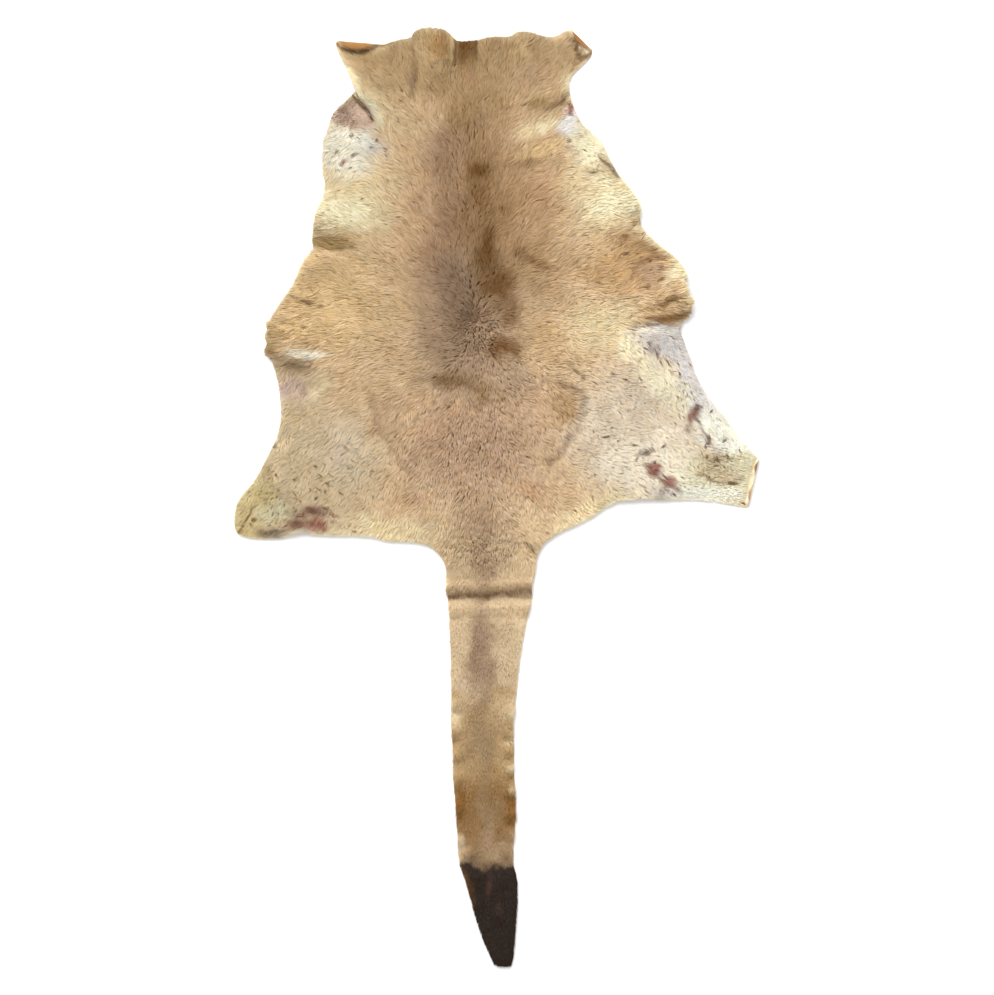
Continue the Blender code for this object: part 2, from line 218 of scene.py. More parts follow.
# %% [markdown]
# One round of subdivision turns the solid's small flat faces into soft folds. The smooth sheet is
# then measured before it gets its thickness: the coat will grow from these faces, and their whole
# area is what a tanner would measure on the flat hide.

# %% Smooth the leather and measure it
LEATHER_THICKNESS = 1.6 * MM


def applied(thing, name):
    """A new mesh of an object with its modifiers worked in."""
    graph = bpy.context.evaluated_depsgraph_get()
    mesh = bpy.data.meshes.new_from_object(thing.evaluated_get(graph))
    mesh.name = name
    thing.modifiers.clear()
    return mesh


def corners_of(mesh):
    """The points, the triangles and the point normals of a mesh, as arrays."""
    mesh.calc_loop_triangles()
    points = np.empty(len(mesh.vertices) * 3)
    mesh.vertices.foreach_get("co", points)
    triangles = np.empty(len(mesh.loop_triangles) * 3, int)
    mesh.loop_triangles.foreach_get("vertices", triangles)
    normals = np.empty(len(mesh.vertices) * 3)
    mesh.vertex_normals.foreach_get("vector", normals)
    return points.reshape(-1, 3), triangles.reshape(-1, 3), normals.reshape(-1, 3)


softened = leather.modifiers.new("softened", "SUBSURF")
softened.levels = 1
leather.data = applied(leather, "leather")
points, triangles, normals = corners_of(leather.data)
sides = points[triangles[:, 1:]] - points[triangles[:, :1]]
triangle_area = np.linalg.norm(np.cross(sides[:, 0], sides[:, 1]), axis=1) / 2
print("flat area of the leather:", round(triangle_area.sum(), 4), "square metres")

# %% [markdown]
# ## How deep and how free the hair may grow
#
# From each point of the leather a line goes up along the normal to the solid's hair side. Its length
# is the depth of the coat there: seven millimetres on average, two centimetres at most and nothing on
# the barest places. The hide's shadow on the floor, drawn on a fine grid, later tells each hair
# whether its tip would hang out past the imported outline.

# %% Measure the depth of the coat
DEEPEST = 0.03
HAIR_ROOT = 0.8 * LEATHER_THICKNESS


def depth_at(point, normal):
    """The depth of the coat over one point of the leather."""
    start = Vector(point)
    up = Vector(normal)
    far = hair_tree.ray_cast(start + up * 1e-5, up, DEEPEST)[3]
    if far is None:
        far = hair_tree.find_nearest(start)[3]
    return max(far - LEATHER_THICKNESS, 0)


depth = np.array([depth_at(point, normal) for point, normal in zip(points, normals)])
print("coat depth in mm, least, mean and most:", (depth.min() / MM).round(1),
      (depth.mean() / MM).round(1), (depth.max() / MM).round(1))

# %% Draw the hide's shadow on a fine grid
CELL = 1 * MM
SHADOW_SAMPLES = 5e6
SHADOW_CORNER = np.array([-0.6, -0.9])
SHADOW_CELLS = (1200, 1800)


def spread_over(corners, picks, rng):
    """One random point on each picked triangle, as shares of its three corners."""
    across, along = rng.random((2, len(picks)))
    turned = across + along > 1
    across[turned] = 1 - across[turned]
    along[turned] = 1 - along[turned]
    return np.stack([1 - across - along, across, along], axis=1)


def grown(grid):
    """A grid of covered squares with its neighbours covered as well."""
    wider = grid.copy()
    for axis in (0, 1):
        for step in (-1, 1):
            wider |= np.roll(grid, step, axis)
    return wider


def hide_shadow():
    """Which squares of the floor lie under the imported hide."""
    packed, faces, _ = corners_of(packed_hide.data)
    sides = packed[faces[:, 1:], :2] - packed[faces[:, :1], :2]
    area = np.abs(np.cross(sides[:, 0], sides[:, 1])) / 2
    picks = np.repeat(np.arange(len(faces)), (area * SHADOW_SAMPLES).astype(int) + 1)
    shares = spread_over(faces, picks, np.random.default_rng(1))
    spots = (packed[faces[picks], :2] * shares[..., None]).sum(axis=1)
    column, row = ((spots - SHADOW_CORNER) / CELL).astype(int).T
    grid = np.zeros(SHADOW_CELLS, bool)
    grid[column, row] = True
    return ~grown(~grown(grid))


shadow = hide_shadow()


def over_hide(spots):
    """Whether places in metres are above the hide."""
    column, row = ((spots - SHADOW_CORNER) / CELL).astype(int).T
    return shadow[column, row]


RIM_STEPS = 11
from_rim = np.zeros(SHADOW_CELLS, int)
inner = shadow
for _ in range(RIM_STEPS):
    from_rim += inner
    inner = ~grown(~inner)


def rimness(spots):
    """How close places in metres are to the outline, from 0 to 1 right on it."""
    column, row = ((spots - SHADOW_CORNER) / CELL).astype(int).T
    return 1 - from_rim[column, row] / RIM_STEPS


print("the hide covers", round(shadow.sum() * CELL ** 2, 4), "square metres of floor")

# %% [markdown]
# ## The comb
#
# On the shoulders the hair of this skin points outwards and to the head, on the flanks straight out,
# and on the thighs and the tail backwards. The table gives the direction at some places, and
# every tuft takes a mixture of the nearest ones. A slow wave makes the flow wander, as real hair does.

# %% Comb directions and a wandering field
Comb = namedtuple("Comb", "name x y heading")

COMBS = [
    Comb("left neck corner", 345, 55, 142),
    Comb("neck, left", 385, 70, 128),
    Comb("neck, left of the middle", 430, 60, 105),
    Comb("spine at the shoulders", 466, 125, 92),
    Comb("spine behind the shoulders", 467, 170, 94),
    Comb("spine, middle", 467, 215, 88),
    Comb("spine, back", 471, 262, 92),
    Comb("neck, middle", 465, 70, 92),
    Comb("neck, right of the middle", 505, 65, 72),
    Comb("neck, right", 545, 70, 48),
    Comb("right neck corner", 577, 62, 42),
    Comb("beside the slit", 372, 108, 150),
    Comb("left foreleg", 340, 140, 225),
    Comb("left foreleg, rim", 326, 170, 232),
    Comb("shoulder, left", 395, 140, 140),
    Comb("shoulder, middle left", 445, 140, 128),
    Comb("shoulder, middle right", 485, 140, 60),
    Comb("shoulder, right", 535, 140, 35),
    Comb("right foreleg", 590, 140, -30),
    Comb("right foreleg, rim", 608, 165, -35),
    Comb("chest, left", 345, 215, 165),
    Comb("chest, left half", 400, 215, 148),
    Comb("chest, middle left", 450, 215, 128),
    Comb("chest, middle right", 490, 215, 52),
    Comb("chest, right half", 545, 215, 30),
    Comb("chest, right", 610, 205, 12),
    Comb("flank, left rim", 300, 300, 186),
    Comb("flank, left", 350, 290, 172),
    Comb("flank, left half", 410, 290, 158),
    Comb("back, left", 448, 290, 152),
    Comb("back, right", 500, 290, 25),
    Comb("flank, right half", 560, 285, 18),
    Comb("flank, right", 620, 265, 24),
    Comb("flank, right rim", 668, 290, 8),
    Comb("left ridge", 285, 345, 190),
    Comb("right ridge", 672, 318, -8),
    Comb("loin, left", 400, 345, 182),
    Comb("loin, middle left", 448, 340, 190),
    Comb("loin, middle", 478, 362, 268),
    Comb("loin, middle right", 510, 345, -15),
    Comb("loin, right", 575, 335, -4),
    Comb("left groin", 300, 385, 232),
    Comb("left groin, inner", 345, 385, 205),
    Comb("right groin", 660, 350, -52),
    Comb("right groin, lower", 690, 390, -58),
    Comb("right groin, inner", 620, 365, -25),
    Comb("left thigh", 340, 440, 225),
    Comb("left thigh, rim", 278, 460, 235),
    Comb("left foot", 250, 510, 222),
    Comb("left rump", 380, 490, 238),
    Comb("rump, left", 430, 430, 240),
    Comb("rump, middle", 480, 440, 272),
    Comb("rump, right", 530, 430, -52),
    Comb("right thigh", 610, 430, -22),
    Comb("right thigh, rim", 700, 430, -42),
    Comb("right foot", 735, 480, -20),
    Comb("right rump", 580, 490, -32),
    Comb("rump edge, right", 560, 515, -48),
    Comb("tail root", 485, 540, 270),
    Comb("tail root, left", 440, 530, 245),
    Comb("tail root, right", 530, 530, -60),
    Comb("upper tail", 482, 640, 270),
    Comb("lower tail", 484, 780, 270),
    Comb("dark tip", 500, 920, 271),
]
COMB_FALL = 3.2
WAVES = 9
WAVE_SPREAD = (0.7, 1.6)


def wander(spots, size, seed):
    """A smooth uneven field of about -1 to 1, with waves of about the given size."""
    rng = np.random.default_rng(seed)
    headings, starts = rng.uniform(0, math.tau, (2, WAVES))
    sizes = size * rng.uniform(*WAVE_SPREAD, WAVES)
    field = np.zeros(len(spots))
    for heading, start, length in zip(headings, starts, sizes):
        along = spots @ np.array([math.cos(heading), math.sin(heading)])
        field += np.sin(math.tau * along / length + start)
    return field / math.sqrt(WAVES)


def combed(spots):
    """The heading of the hair at places in metres, in radians."""
    pull = np.zeros((len(spots), 2))
    for row in COMBS:
        off = np.linalg.norm(in_photo(spots) - [row.x, row.y], axis=1) + 1
        heading = math.radians(row.heading)
        pull += np.array([math.cos(heading), math.sin(heading)]) / off[:, None] ** COMB_FALL
    return np.arctan2(pull[:, 1], pull[:, 0])


# Over the hips the hair parts in a whorl, and there and along the spine it is ruffled.
Ruffle = namedtuple("Ruffle", "name x y across along turn")

RUFFLES = [
    Ruffle("whorl over the hips", 478, 335, 50, 60, 1.0),
    Ruffle("spine", 469, 190, 30, 130, 0.7),
    Ruffle("rump", 478, 440, 90, 60, 0.5),
]


def ruffled(spots):
    """How far tufts turn to either side at places in metres, in radians, on top of the usual."""
    turn = np.zeros(len(spots))
    for row in RUFFLES:
        turn = np.maximum(turn, row.turn * oval(in_photo(spots), row))
    return turn


print("on the left flank the hair heads", np.degrees(combed(on_hide([[300, 300]]))).round(), "degrees")

# %% [markdown]
# ## Long and short hair
#
# The locks in the photograph look about two and a half centimetres long on the flanks, shorter along
# the back and the thighs, and about one centimetre on the tail. Each row is a soft oval, and later
# rows lie over earlier ones.

# %% Hair lengths
Length = namedtuple("Length", "name x y across along length")

LENGTHS = [
    Length("neck", 465, 75, 130, 50, 18),
    Length("back", 475, 230, 45, 190, 17),
    Length("left flank", 305, 310, 70, 75, 25),
    Length("right flank", 650, 270, 75, 75, 26),
    Length("rump", 480, 440, 75, 60, 16),
    Length("left thigh", 310, 455, 110, 90, 17),
    Length("right thigh", 655, 440, 120, 100, 17),
    Length("left foot", 255, 505, 60, 50, 12),
    Length("right foot", 730, 480, 60, 50, 12),
    Length("left armpit", 352, 110, 28, 26, 7),
    Length("right armpit", 575, 108, 18, 18, 8),
    Length("tail root", 485, 550, 60, 30, 13),
    Length("upper tail", 485, 660, 70, 120, 11),
    Length("lower tail", 485, 800, 60, 110, 11),
    Length("dark tip", 498, 915, 60, 60, 13),
    Length("left neck corner", 358, 47, 34, 14, 7),
    Length("right neck corner", 581, 50, 18, 16, 7),
    Length("right foot's flap", 754, 486, 14, 34, 6),
    Length("whorl over the hips", 478, 330, 30, 34, 12),
]
COMMON_LENGTH = 19
LENGTH_EDGE = 0.6
SLEEK_EDGE = 0.5


def soft(share):
    """An S-curve from 0 to 1."""
    share = np.clip(share, 0, 1)
    return share * share * (3 - 2 * share)


def oval(places, row, turn=0.0, edge=1.0):
    """A soft oval weight at places in the photograph: 1 in its middle, 0 past its rim."""
    off = places - [row.x, row.y]
    turn = math.radians(turn)
    across = off[:, 0] * math.cos(turn) - off[:, 1] * math.sin(turn)
    along = off[:, 0] * math.sin(turn) + off[:, 1] * math.cos(turn)
    return soft((1 - np.hypot(across / row.across, along / row.along)) / edge)


# Legs, tail and neck are sleek: their hair lies close and shows hardly any tufts.
Sleek = namedtuple("Sleek", "name x y across along share")

SLEEK_PLACES = [
    Sleek("back", 480, 290, 260, 300, 0.3),
    Sleek("neck", 462, 50, 170, 80, 0.5),
    Sleek("whorl over the hips", 478, 325, 90, 110, 0.95),
    Sleek("left foreleg", 342, 135, 60, 65, 0.9),
    Sleek("right foreleg", 590, 140, 50, 50, 0.9),
    Sleek("left groin", 300, 385, 50, 40, 0.9),
    Sleek("right groin", 675, 365, 50, 70, 0.9),
    Sleek("left thigh", 300, 475, 130, 90, 0.95),
    Sleek("right thigh", 665, 440, 135, 110, 0.95),
    Sleek("rump", 480, 480, 120, 110, 0.6),
    Sleek("tail", 488, 760, 120, 260, 1.0),
]


def sleekness(spots):
    """How close and even the hair lies at places in metres, from 0 for shaggy to 1 for sleek."""
    sleek = np.zeros(len(spots))
    for row in SLEEK_PLACES:
        sleek = np.maximum(sleek, row.share * oval(in_photo(spots), row, edge=SLEEK_EDGE))
    return sleek


def hair_length(spots):
    """How long the hair is at places in metres."""
    length = np.full(len(spots), COMMON_LENGTH * MM)
    for row in LENGTHS:
        length += (row.length * MM - length) * oval(in_photo(spots), row, edge=LENGTH_EDGE)
    return length


print("hair on the right flank is", hair_length(on_hide([[650, 270]])) / MM, "mm long")

# %% [markdown]
# ## The colours of the coat
#
# A tanner would call this skin fawn: brown along the spine, golden on the flanks, cream at the edges
# and almost black at the tip of the tail. Every tone below has a name. It was chosen, and then
# nudged after the mean tone of some fifty patches had been compared between photograph and render.
# A brush row is a soft oval of one tone, laid over what is there already. A stroke row is a soft
# line: most strokes are painted shade in folds and creases and painted shadow under ridges and
# turned-over edges, a few are dark marks of the coat, one is painted light behind the tail's crease
# and one a painted highlight on the rolled right corner of the neck.

# %% Name the tones
TONES = {
    "fawn": (205, 176, 138),
    "golden fawn": (214, 184, 136),
    "tan": (186, 156, 114),
    "golden tan": (200, 163, 116),
    "golden brown": (172, 139, 98),
    "brown": (145, 112, 71),
    "deep brown": (113, 75, 32),
    "orange brown": (112, 68, 20),
    "copper": (190, 150, 114),
    "rosy brown": (158, 127, 99),
    "rosy tan": (184, 152, 121),
    "grey brown": (147, 118, 93),
    "olive brown": (150, 121, 72),
    # painted shade, for creases, folds, the undersides of ridges and the shade over the tail's dark tip
    "shade brown": (106, 78, 50),
    "cream": (224, 205, 165),
    "pale cream": (232, 222, 188),
    "rosy beige": (214, 193, 166),
    "pale rosy beige": (238, 222, 197),
    "beige": (203, 179, 142),
    "white hair": (238, 231, 212),
    "rim cream": (233, 222, 186),
    "lavender grey": (205, 195, 186),
    "lavender white": (224, 216, 208),
    "grey cream": (210, 197, 160),
    "golden sand": (202, 180, 128),
    "mauve": (180, 153, 138),
    "raw red": (154, 100, 84),
    "dark mauve": (112, 86, 76),
    "dusty mauve": (188, 160, 142),
    "near black": (36, 20, 6),
    "dark red brown": (72, 44, 32),
    "amber": (130, 86, 30),
    "tail brown": (154, 124, 88),
    # painted light, for the slope behind the tail's crease
    "tail tan": (182, 147, 100),
    "painted tail light": (236, 204, 160),
    "fleck brown": (118, 92, 62),
    "fleck grey": (128, 114, 100),
    "fleck dark": (88, 78, 68),
    "raw brown": (118, 80, 62),
    "bare skin": (202, 172, 149),
    "pucker orange": (196, 152, 100),
    # painted shadow, as thin lines in creases and pleats and under turned-over edges
    "shadow line": (92, 60, 30),
    "suede": (153, 112, 62),
}


def linear(tone):
    """A tone of 0 to 255, as light adds up."""
    share = np.array(tone) / 255
    return np.where(share <= 0.04045, share / 12.92, ((share + 0.055) / 1.055) ** 2.4)


HUES = {name: linear(tone) for name, tone in TONES.items()}
print(len(HUES), "tones, such as fawn", HUES["fawn"].round(3))

# %% Lay out the broad tones
Brush = namedtuple("Brush", "name x y across along turn edge tone share")

BROAD_BRUSHES = [
    Brush("neck", 462, 58, 165, 70, 0, 0.6, "tan", 1.0),
    Brush("neck, right of the middle", 530, 75, 46, 24, 0, 1.0, "rosy tan", 0.6),
    Brush("left flank", 330, 300, 100, 80, 0, 0.9, "golden fawn", 0.9),
    Brush("left chest", 345, 195, 84, 72, 0, 0.9, "cream", 1.0),
    Brush("left chest, palest", 345, 213, 60, 22, -4, 0.8, "pale cream", 1.0),
    Brush("left foreleg", 350, 148, 48, 40, 0, 0.7, "white hair", 0.75),
    Brush("right chest", 612, 190, 80, 66, 25, 0.8, "cream", 1.0),
    Brush("right chest, palest", 620, 200, 54, 26, 0, 0.8, "pale cream", 1.0),
    Brush("right foreleg", 590, 142, 30, 30, 40, 0.7, "pale cream", 0.8),
    Brush("right flank", 640, 265, 75, 46, 0, 0.7, "golden tan", 0.9),
    Brush("right flank, low", 604, 325, 64, 40, 0, 0.9, "cream", 0.9),
    Brush("middle of the back", 478, 235, 118, 175, 0, 1.0, "copper", 0.95),
    Brush("spine", 478, 215, 60, 190, 0, 1.0, "brown", 0.85),
    Brush("left of the spine", 445, 150, 34, 46, 0, 1.0, "rosy brown", 0.95),
    Brush("left of the spine, middle", 448, 215, 40, 50, 0, 1.0, "rosy brown", 0.8),
    Brush("left of the spine, low", 440, 275, 44, 60, 0, 1.0, "rosy brown", 0.85),
    Brush("right of the spine", 528, 200, 46, 60, 0, 1.0, "golden brown", 0.6),
    Brush("right of the spine, low", 530, 265, 60, 60, 0, 1.0, "golden brown", 0.8),
    Brush("grey back", 458, 290, 34, 60, 0, 1.0, "grey brown", 0.9),
    Brush("rump", 476, 445, 122, 96, 0, 0.75, "rosy tan", 1.0),
    Brush("rump, right", 540, 395, 48, 44, 0, 0.9, "rosy tan", 0.6),
    Brush("back and loin", 468, 345, 74, 76, 0, 0.8, "rosy brown", 0.9),
    Brush("loin, right", 540, 335, 40, 40, 0, 1.0, "golden tan", 0.7),
    Brush("rump, low", 482, 532, 48, 56, 0, 1.0, "rosy brown", 0.9),
    Brush("left thigh", 305, 455, 105, 85, 0, 0.6, "beige", 0.95),
    Brush("left thigh, inner", 345, 445, 46, 52, 0, 1.0, "rosy beige", 0.8),
    Brush("right thigh", 652, 428, 112, 100, 0, 0.5, "rosy beige", 1.0),
    Brush("right thigh, low", 655, 462, 84, 50, 0, 0.8, "pale rosy beige", 0.95),
    Brush("right thigh, cream", 658, 378, 26, 84, 44, 0.9, "pale cream", 0.65),
    Brush("right shin", 728, 424, 34, 66, 42, 0.5, "white hair", 1.0),
    Brush("left foot", 244, 506, 40, 56, 0, 0.6, "golden sand", 0.9),
    Brush("left foot, middle", 278, 513, 34, 20, 0, 0.8, "grey cream", 0.95),
    Brush("right foot", 732, 480, 76, 36, 0, 0.5, "pale cream", 0.95),
    Brush("right foot, lower", 712, 495, 66, 14, -2, 0.7, "white hair", 1.0),
    Brush("left rump edge", 390, 530, 76, 17, -6, 0.8, "cream", 0.95),
    Brush("right rump edge", 590, 512, 74, 17, 22, 0.8, "cream", 0.9),
]
UNDERCOAT = HUES["fawn"]
print(len(BROAD_BRUSHES), "broad brushes")

# %% Lay out the markings of the body
MARKINGS = [
    Brush("neck, left corner", 372, 62, 26, 16, 0, 1.0, "golden brown", 0.35),
    Brush("neck, dark middle", 465, 84, 44, 42, 0, 1.0, "golden brown", 0.75),
    Brush("neck, middle low", 470, 118, 46, 28, 0, 1.0, "brown", 0.55),
    # The next rows paint the neck's puckers: painted highlight on their ridges and beside the pleat,
    # painted shade in the fold and the pleat.
    Brush("left of the fold", 408, 52, 8, 20, 0, 1.0, "golden brown", 0.5),
    Brush("grey spot of the fold", 411, 82, 9, 20, 8, 1.0, "grey brown", 0.75),
    Brush("left pucker, crown", 430, 48, 13, 26, -4, 0.9, "golden fawn", 0.55),
    Brush("left pucker, orange", 438, 48, 14, 20, -12, 0.9, "pucker orange", 0.9),
    Brush("left pucker, foot", 440, 68, 9, 12, 0, 0.9, "golden fawn", 0.5),
    Brush("pleat, foot", 466, 52, 17, 36, 0, 1.0, "brown", 0.95),
    Brush("pleat", 466, 40, 14, 28, 0, 0.8, "deep brown", 1.0),
    Brush("neck, rosy light", 467, 80, 10, 20, 0, 1.0, "copper", 0.7),
    Brush("beside the pleat", 450, 46, 5, 15, 0, 0.9, "golden fawn", 0.6),
    Brush("right of the pleat", 498, 48, 22, 16, 0, 0.9, "golden brown", 0.75),
    Brush("right pucker, crown", 526, 45, 9, 15, 8, 0.9, "golden fawn", 0.5),
    Brush("neck, left edge", 376, 104, 14, 34, 32, 0.9, "cream", 0.9),
    Brush("neck, below the left edge", 395, 118, 34, 32, 0, 1.0, "beige", 0.9),
    Brush("neck, right edge", 566, 80, 7, 16, 0, 0.9, "cream", 0.8),
    # painted shade below the rolled left corner of the neck
    Brush("left neck corner, foot", 362, 57, 22, 7, -4, 0.9, "olive brown", 0.6),
    Brush("shade over the armpit", 540, 103, 30, 10, 8, 0.9, "olive brown", 0.8),
    Brush("shade over the armpit, end", 560, 99, 9, 10, 0, 0.9, "grey brown", 0.6),
    Brush("pale band", 536, 128, 36, 12, 16, 0.8, "cream", 0.9),
    Brush("pale band, crown", 548, 124, 20, 7, 12, 0.9, "pale cream", 0.6),
    Brush("right armpit", 569, 121, 20, 21, 0, 0.5, "lavender white", 1.0),
    Brush("golden patch", 540, 150, 32, 13, 10, 0.8, "golden fawn", 0.9),
    Brush("golden patch, foot", 524, 163, 30, 8, 3, 0.9, "brown", 0.65),
    Brush("beside the golden patch", 569, 156, 12, 18, 0, 1.0, "fawn", 0.7),
    Brush("right foreleg, low", 604, 166, 14, 14, -30, 0.9, "beige", 0.6),
    Brush("right chest, rosy", 545, 195, 30, 30, 0, 1.0, "copper", 0.55),
    Brush("dark shoulder spot", 479, 170, 17, 15, 0, 0.8, "deep brown", 0.95),
    Brush("dark shoulder, tail", 482, 196, 20, 20, 0, 1.0, "deep brown", 0.45),
    Brush("spine, brown", 487, 222, 24, 36, 0, 1.0, "brown", 0.9),
    Brush("spine, dark", 489, 250, 19, 34, -6, 0.8, "deep brown", 0.85),
    Brush("dark back", 498, 286, 27, 32, -10, 0.8, "deep brown", 0.9),
    Brush("dark back, foot", 512, 312, 17, 20, -20, 0.9, "deep brown", 0.7),
    Brush("back, light above the branch", 528, 236, 24, 12, 0, 1.0, "rosy tan", 0.5),
    Brush("back, light streak", 464, 262, 10, 22, 0, 1.0, "rosy tan", 0.5),
    Brush("orange spot", 502, 350, 29, 24, 0, 0.9, "orange brown", 0.95),
    Brush("loin, right of the middle", 515, 384, 40, 32, 0, 1.0, "rosy brown", 0.75),
    Brush("rump, middle", 480, 445, 70, 60, 0, 1.0, "rosy brown", 0.4),
    Brush("loin, left shade", 428, 332, 18, 34, 0, 1.0, "rosy brown", 0.5),
    Brush("dark loin", 446, 381, 42, 16, 0, 0.9, "deep brown", 0.75),
    Brush("dark loin, right", 484, 393, 26, 22, 0, 1.0, "brown", 0.9),
    Brush("dark loin, spots", 484, 403, 13, 4, 8, 0.8, "deep brown", 0.6),
    Brush("rump, light left", 452, 408, 16, 14, 0, 1.0, "copper", 0.5),
    Brush("rump, copper", 432, 428, 28, 14, 0, 1.0, "copper", 0.6),
    Brush("rump, copper, low", 415, 500, 34, 11, 8, 0.9, "copper", 0.6),
    Brush("rump, copper, right", 532, 492, 30, 17, -18, 0.9, "copper", 0.85),
    Brush("thigh, gold inside the arc", 566, 408, 22, 36, -14, 0.8, "golden brown", 1.0),
    Brush("left thigh, grey", 385, 418, 22, 32, 20, 1.0, "rosy brown", 0.45),
    Brush("left armpit, rim", 337, 113, 15, 14, -28, 0.8, "dusty mauve", 0.8),
    Brush("left armpit, bare", 355, 115, 17, 26, 22, 0.3, "bare skin", 1.0),
    Brush("left armpit, brown", 342, 107, 6, 8, -30, 1.0, "raw brown", 0.35),
    Brush("left armpit, white", 366, 142, 26, 10, -20, 0.9, "white hair", 0.9),
    Brush("left foreleg, grey", 376, 148, 16, 9, 20, 0.9, "lavender grey", 0.7),
    Brush("right armpit, raw", 570.5, 109, 8, 4.5, 50, 0.4, "raw red", 0.85),
    Brush("left foreleg, raw", 344, 161, 5, 9, -30, 0.8, "raw red", 0.5),
    Brush("left foreleg, low", 336, 180, 14, 12, 0, 1.0, "beige", 0.6),
    Brush("left chest, rim", 320, 224, 9, 16, 10, 0.9, "beige", 0.7),
    # painted shade in the valley of the left flank
    Brush("left valley", 328, 243, 30, 10, 0, 0.5, "olive brown", 0.85),
    Brush("left valley, inner", 354, 238, 18, 7, 12, 1.0, "golden tan", 0.5),
    Brush("left flank, brown strokes", 308, 303, 14, 5, -6, 0.9, "brown", 0.7),
    Brush("left flank, rosy", 385, 285, 34, 44, 0, 1.0, "fawn", 0.6),
    Brush("left ridge, gold", 296, 330, 30, 15, 0, 0.9, "golden fawn", 0.8),
    Brush("left ridge, rim", 270, 340, 9, 22, 0, 0.8, "olive brown", 0.7),
    # painted shade on the underside of the left ridge
    Brush("left ridge, underside", 305, 345, 24, 5, 0, 0.9, "golden brown", 0.6),
    Brush("left groin, white", 306, 354, 32, 6, -4, 0.7, "white hair", 0.95),
    Brush("left groin, grey", 304, 380, 28, 17, 20, 0.9, "fleck grey", 0.3),
    Brush("left groin", 288, 388, 20, 22, 14, 0.8, "mauve", 0.9),
    Brush("left groin, shade", 294, 366, 31, 10, -6, 1.0, "fleck brown", 0.9),
    Brush("left groin, inner", 318, 376, 20, 11, 20, 0.9, "beige", 0.8),
    Brush("left groin, cream", 318, 391, 26, 9, 42, 0.9, "cream", 0.8),
    Brush("right flank, brown strokes", 628, 240, 38, 14, -14, 0.8, "golden brown", 0.75),
    Brush("right flank, upper corner", 634, 222, 9, 7, 0, 0.9, "golden brown", 0.8),
    Brush("right flank, dark ridge", 650, 249, 20, 6, -38, 0.8, "brown", 0.8),
    Brush("right flank, rosy spot", 652, 276, 21, 17, -10, 0.7, "rosy tan", 0.9),
    Brush("right flank, shelf", 585, 275, 30, 12, 8, 1.0, "golden tan", 0.7),
    Brush("right flank, rim", 678, 268, 12, 36, -30, 0.9, "rim cream", 0.9),
    Brush("right flank, rim, top", 655, 238, 9, 26, 45, 0.9, "rim cream", 0.9),
    Brush("right flank, rim, low", 690, 296, 8, 20, -6, 0.9, "cream", 0.9),
    # painted highlight on the top of the right ridge and painted shade on its underside
    Brush("right ridge, gold", 656, 307, 30, 7, 4, 0.9, "golden fawn", 0.9),
    Brush("right ridge, underside", 666, 317, 36, 7, 8, 0.6, "amber", 0.85),
    Brush("right groin, cream", 632, 346, 20, 22, 24, 0.9, "pale cream", 0.8),
    Brush("right groin", 672, 343, 48, 24, -14, 0.5, "lavender grey", 1.0),
    Brush("right groin, lower", 698, 378, 24, 52, 26, 0.6, "lavender grey", 0.95),
    Brush("right groin, top", 650, 331, 34, 6, -4, 0.9, "white hair", 0.7),
    Brush("right groin, spot", 654, 350, 9, 9, -30, 0.9, "dark mauve", 0.55),
    Brush("right thigh, raw", 693, 414, 7, 14, -20, 0.5, "raw red", 0.9),
    Brush("right thigh, raw, top", 698, 405, 7, 6, 0, 0.8, "dark mauve", 0.8),
    Brush("right thigh, raw, low", 654, 470, 12, 10, 30, 0.5, "raw red", 0.95),
    Brush("right thigh, raw, foot", 671, 484, 8, 10, -45, 0.5, "raw red", 0.95),
    Brush("right thigh, under the raw", 664, 494, 26, 7, 0, 0.9, "lavender grey", 0.8),
    Brush("right thigh, dark", 646, 454, 7, 5, 0, 0.9, "dark mauve", 0.6),
    Brush("right shin, shade", 714, 459, 30, 9, -4, 0.8, "golden brown", 0.6),
    Brush("right foot, sand", 720, 473, 42, 15, -8, 0.9, "beige", 0.9),
    Brush("left foot, dark", 267, 472, 8, 12, 20, 1.0, "olive brown", 0.6),
    Brush("left rump, dark", 312, 512, 27, 9, 4, 0.8, "raw brown", 0.85),
    Brush("left rump, dark, low", 297, 526, 14, 9, 20, 0.8, "raw brown", 0.95),
    Brush("left rump, raw", 316, 527, 16, 12, 10, 0.6, "raw red", 0.95),
    Brush("left rump, grey", 272, 534, 22, 7, 0, 0.8, "fleck dark", 0.7),
    Brush("left rump, beside the raw", 340, 524, 14, 10, 0, 0.9, "beige", 0.6),
]
print(len(MARKINGS), "markings on the body")

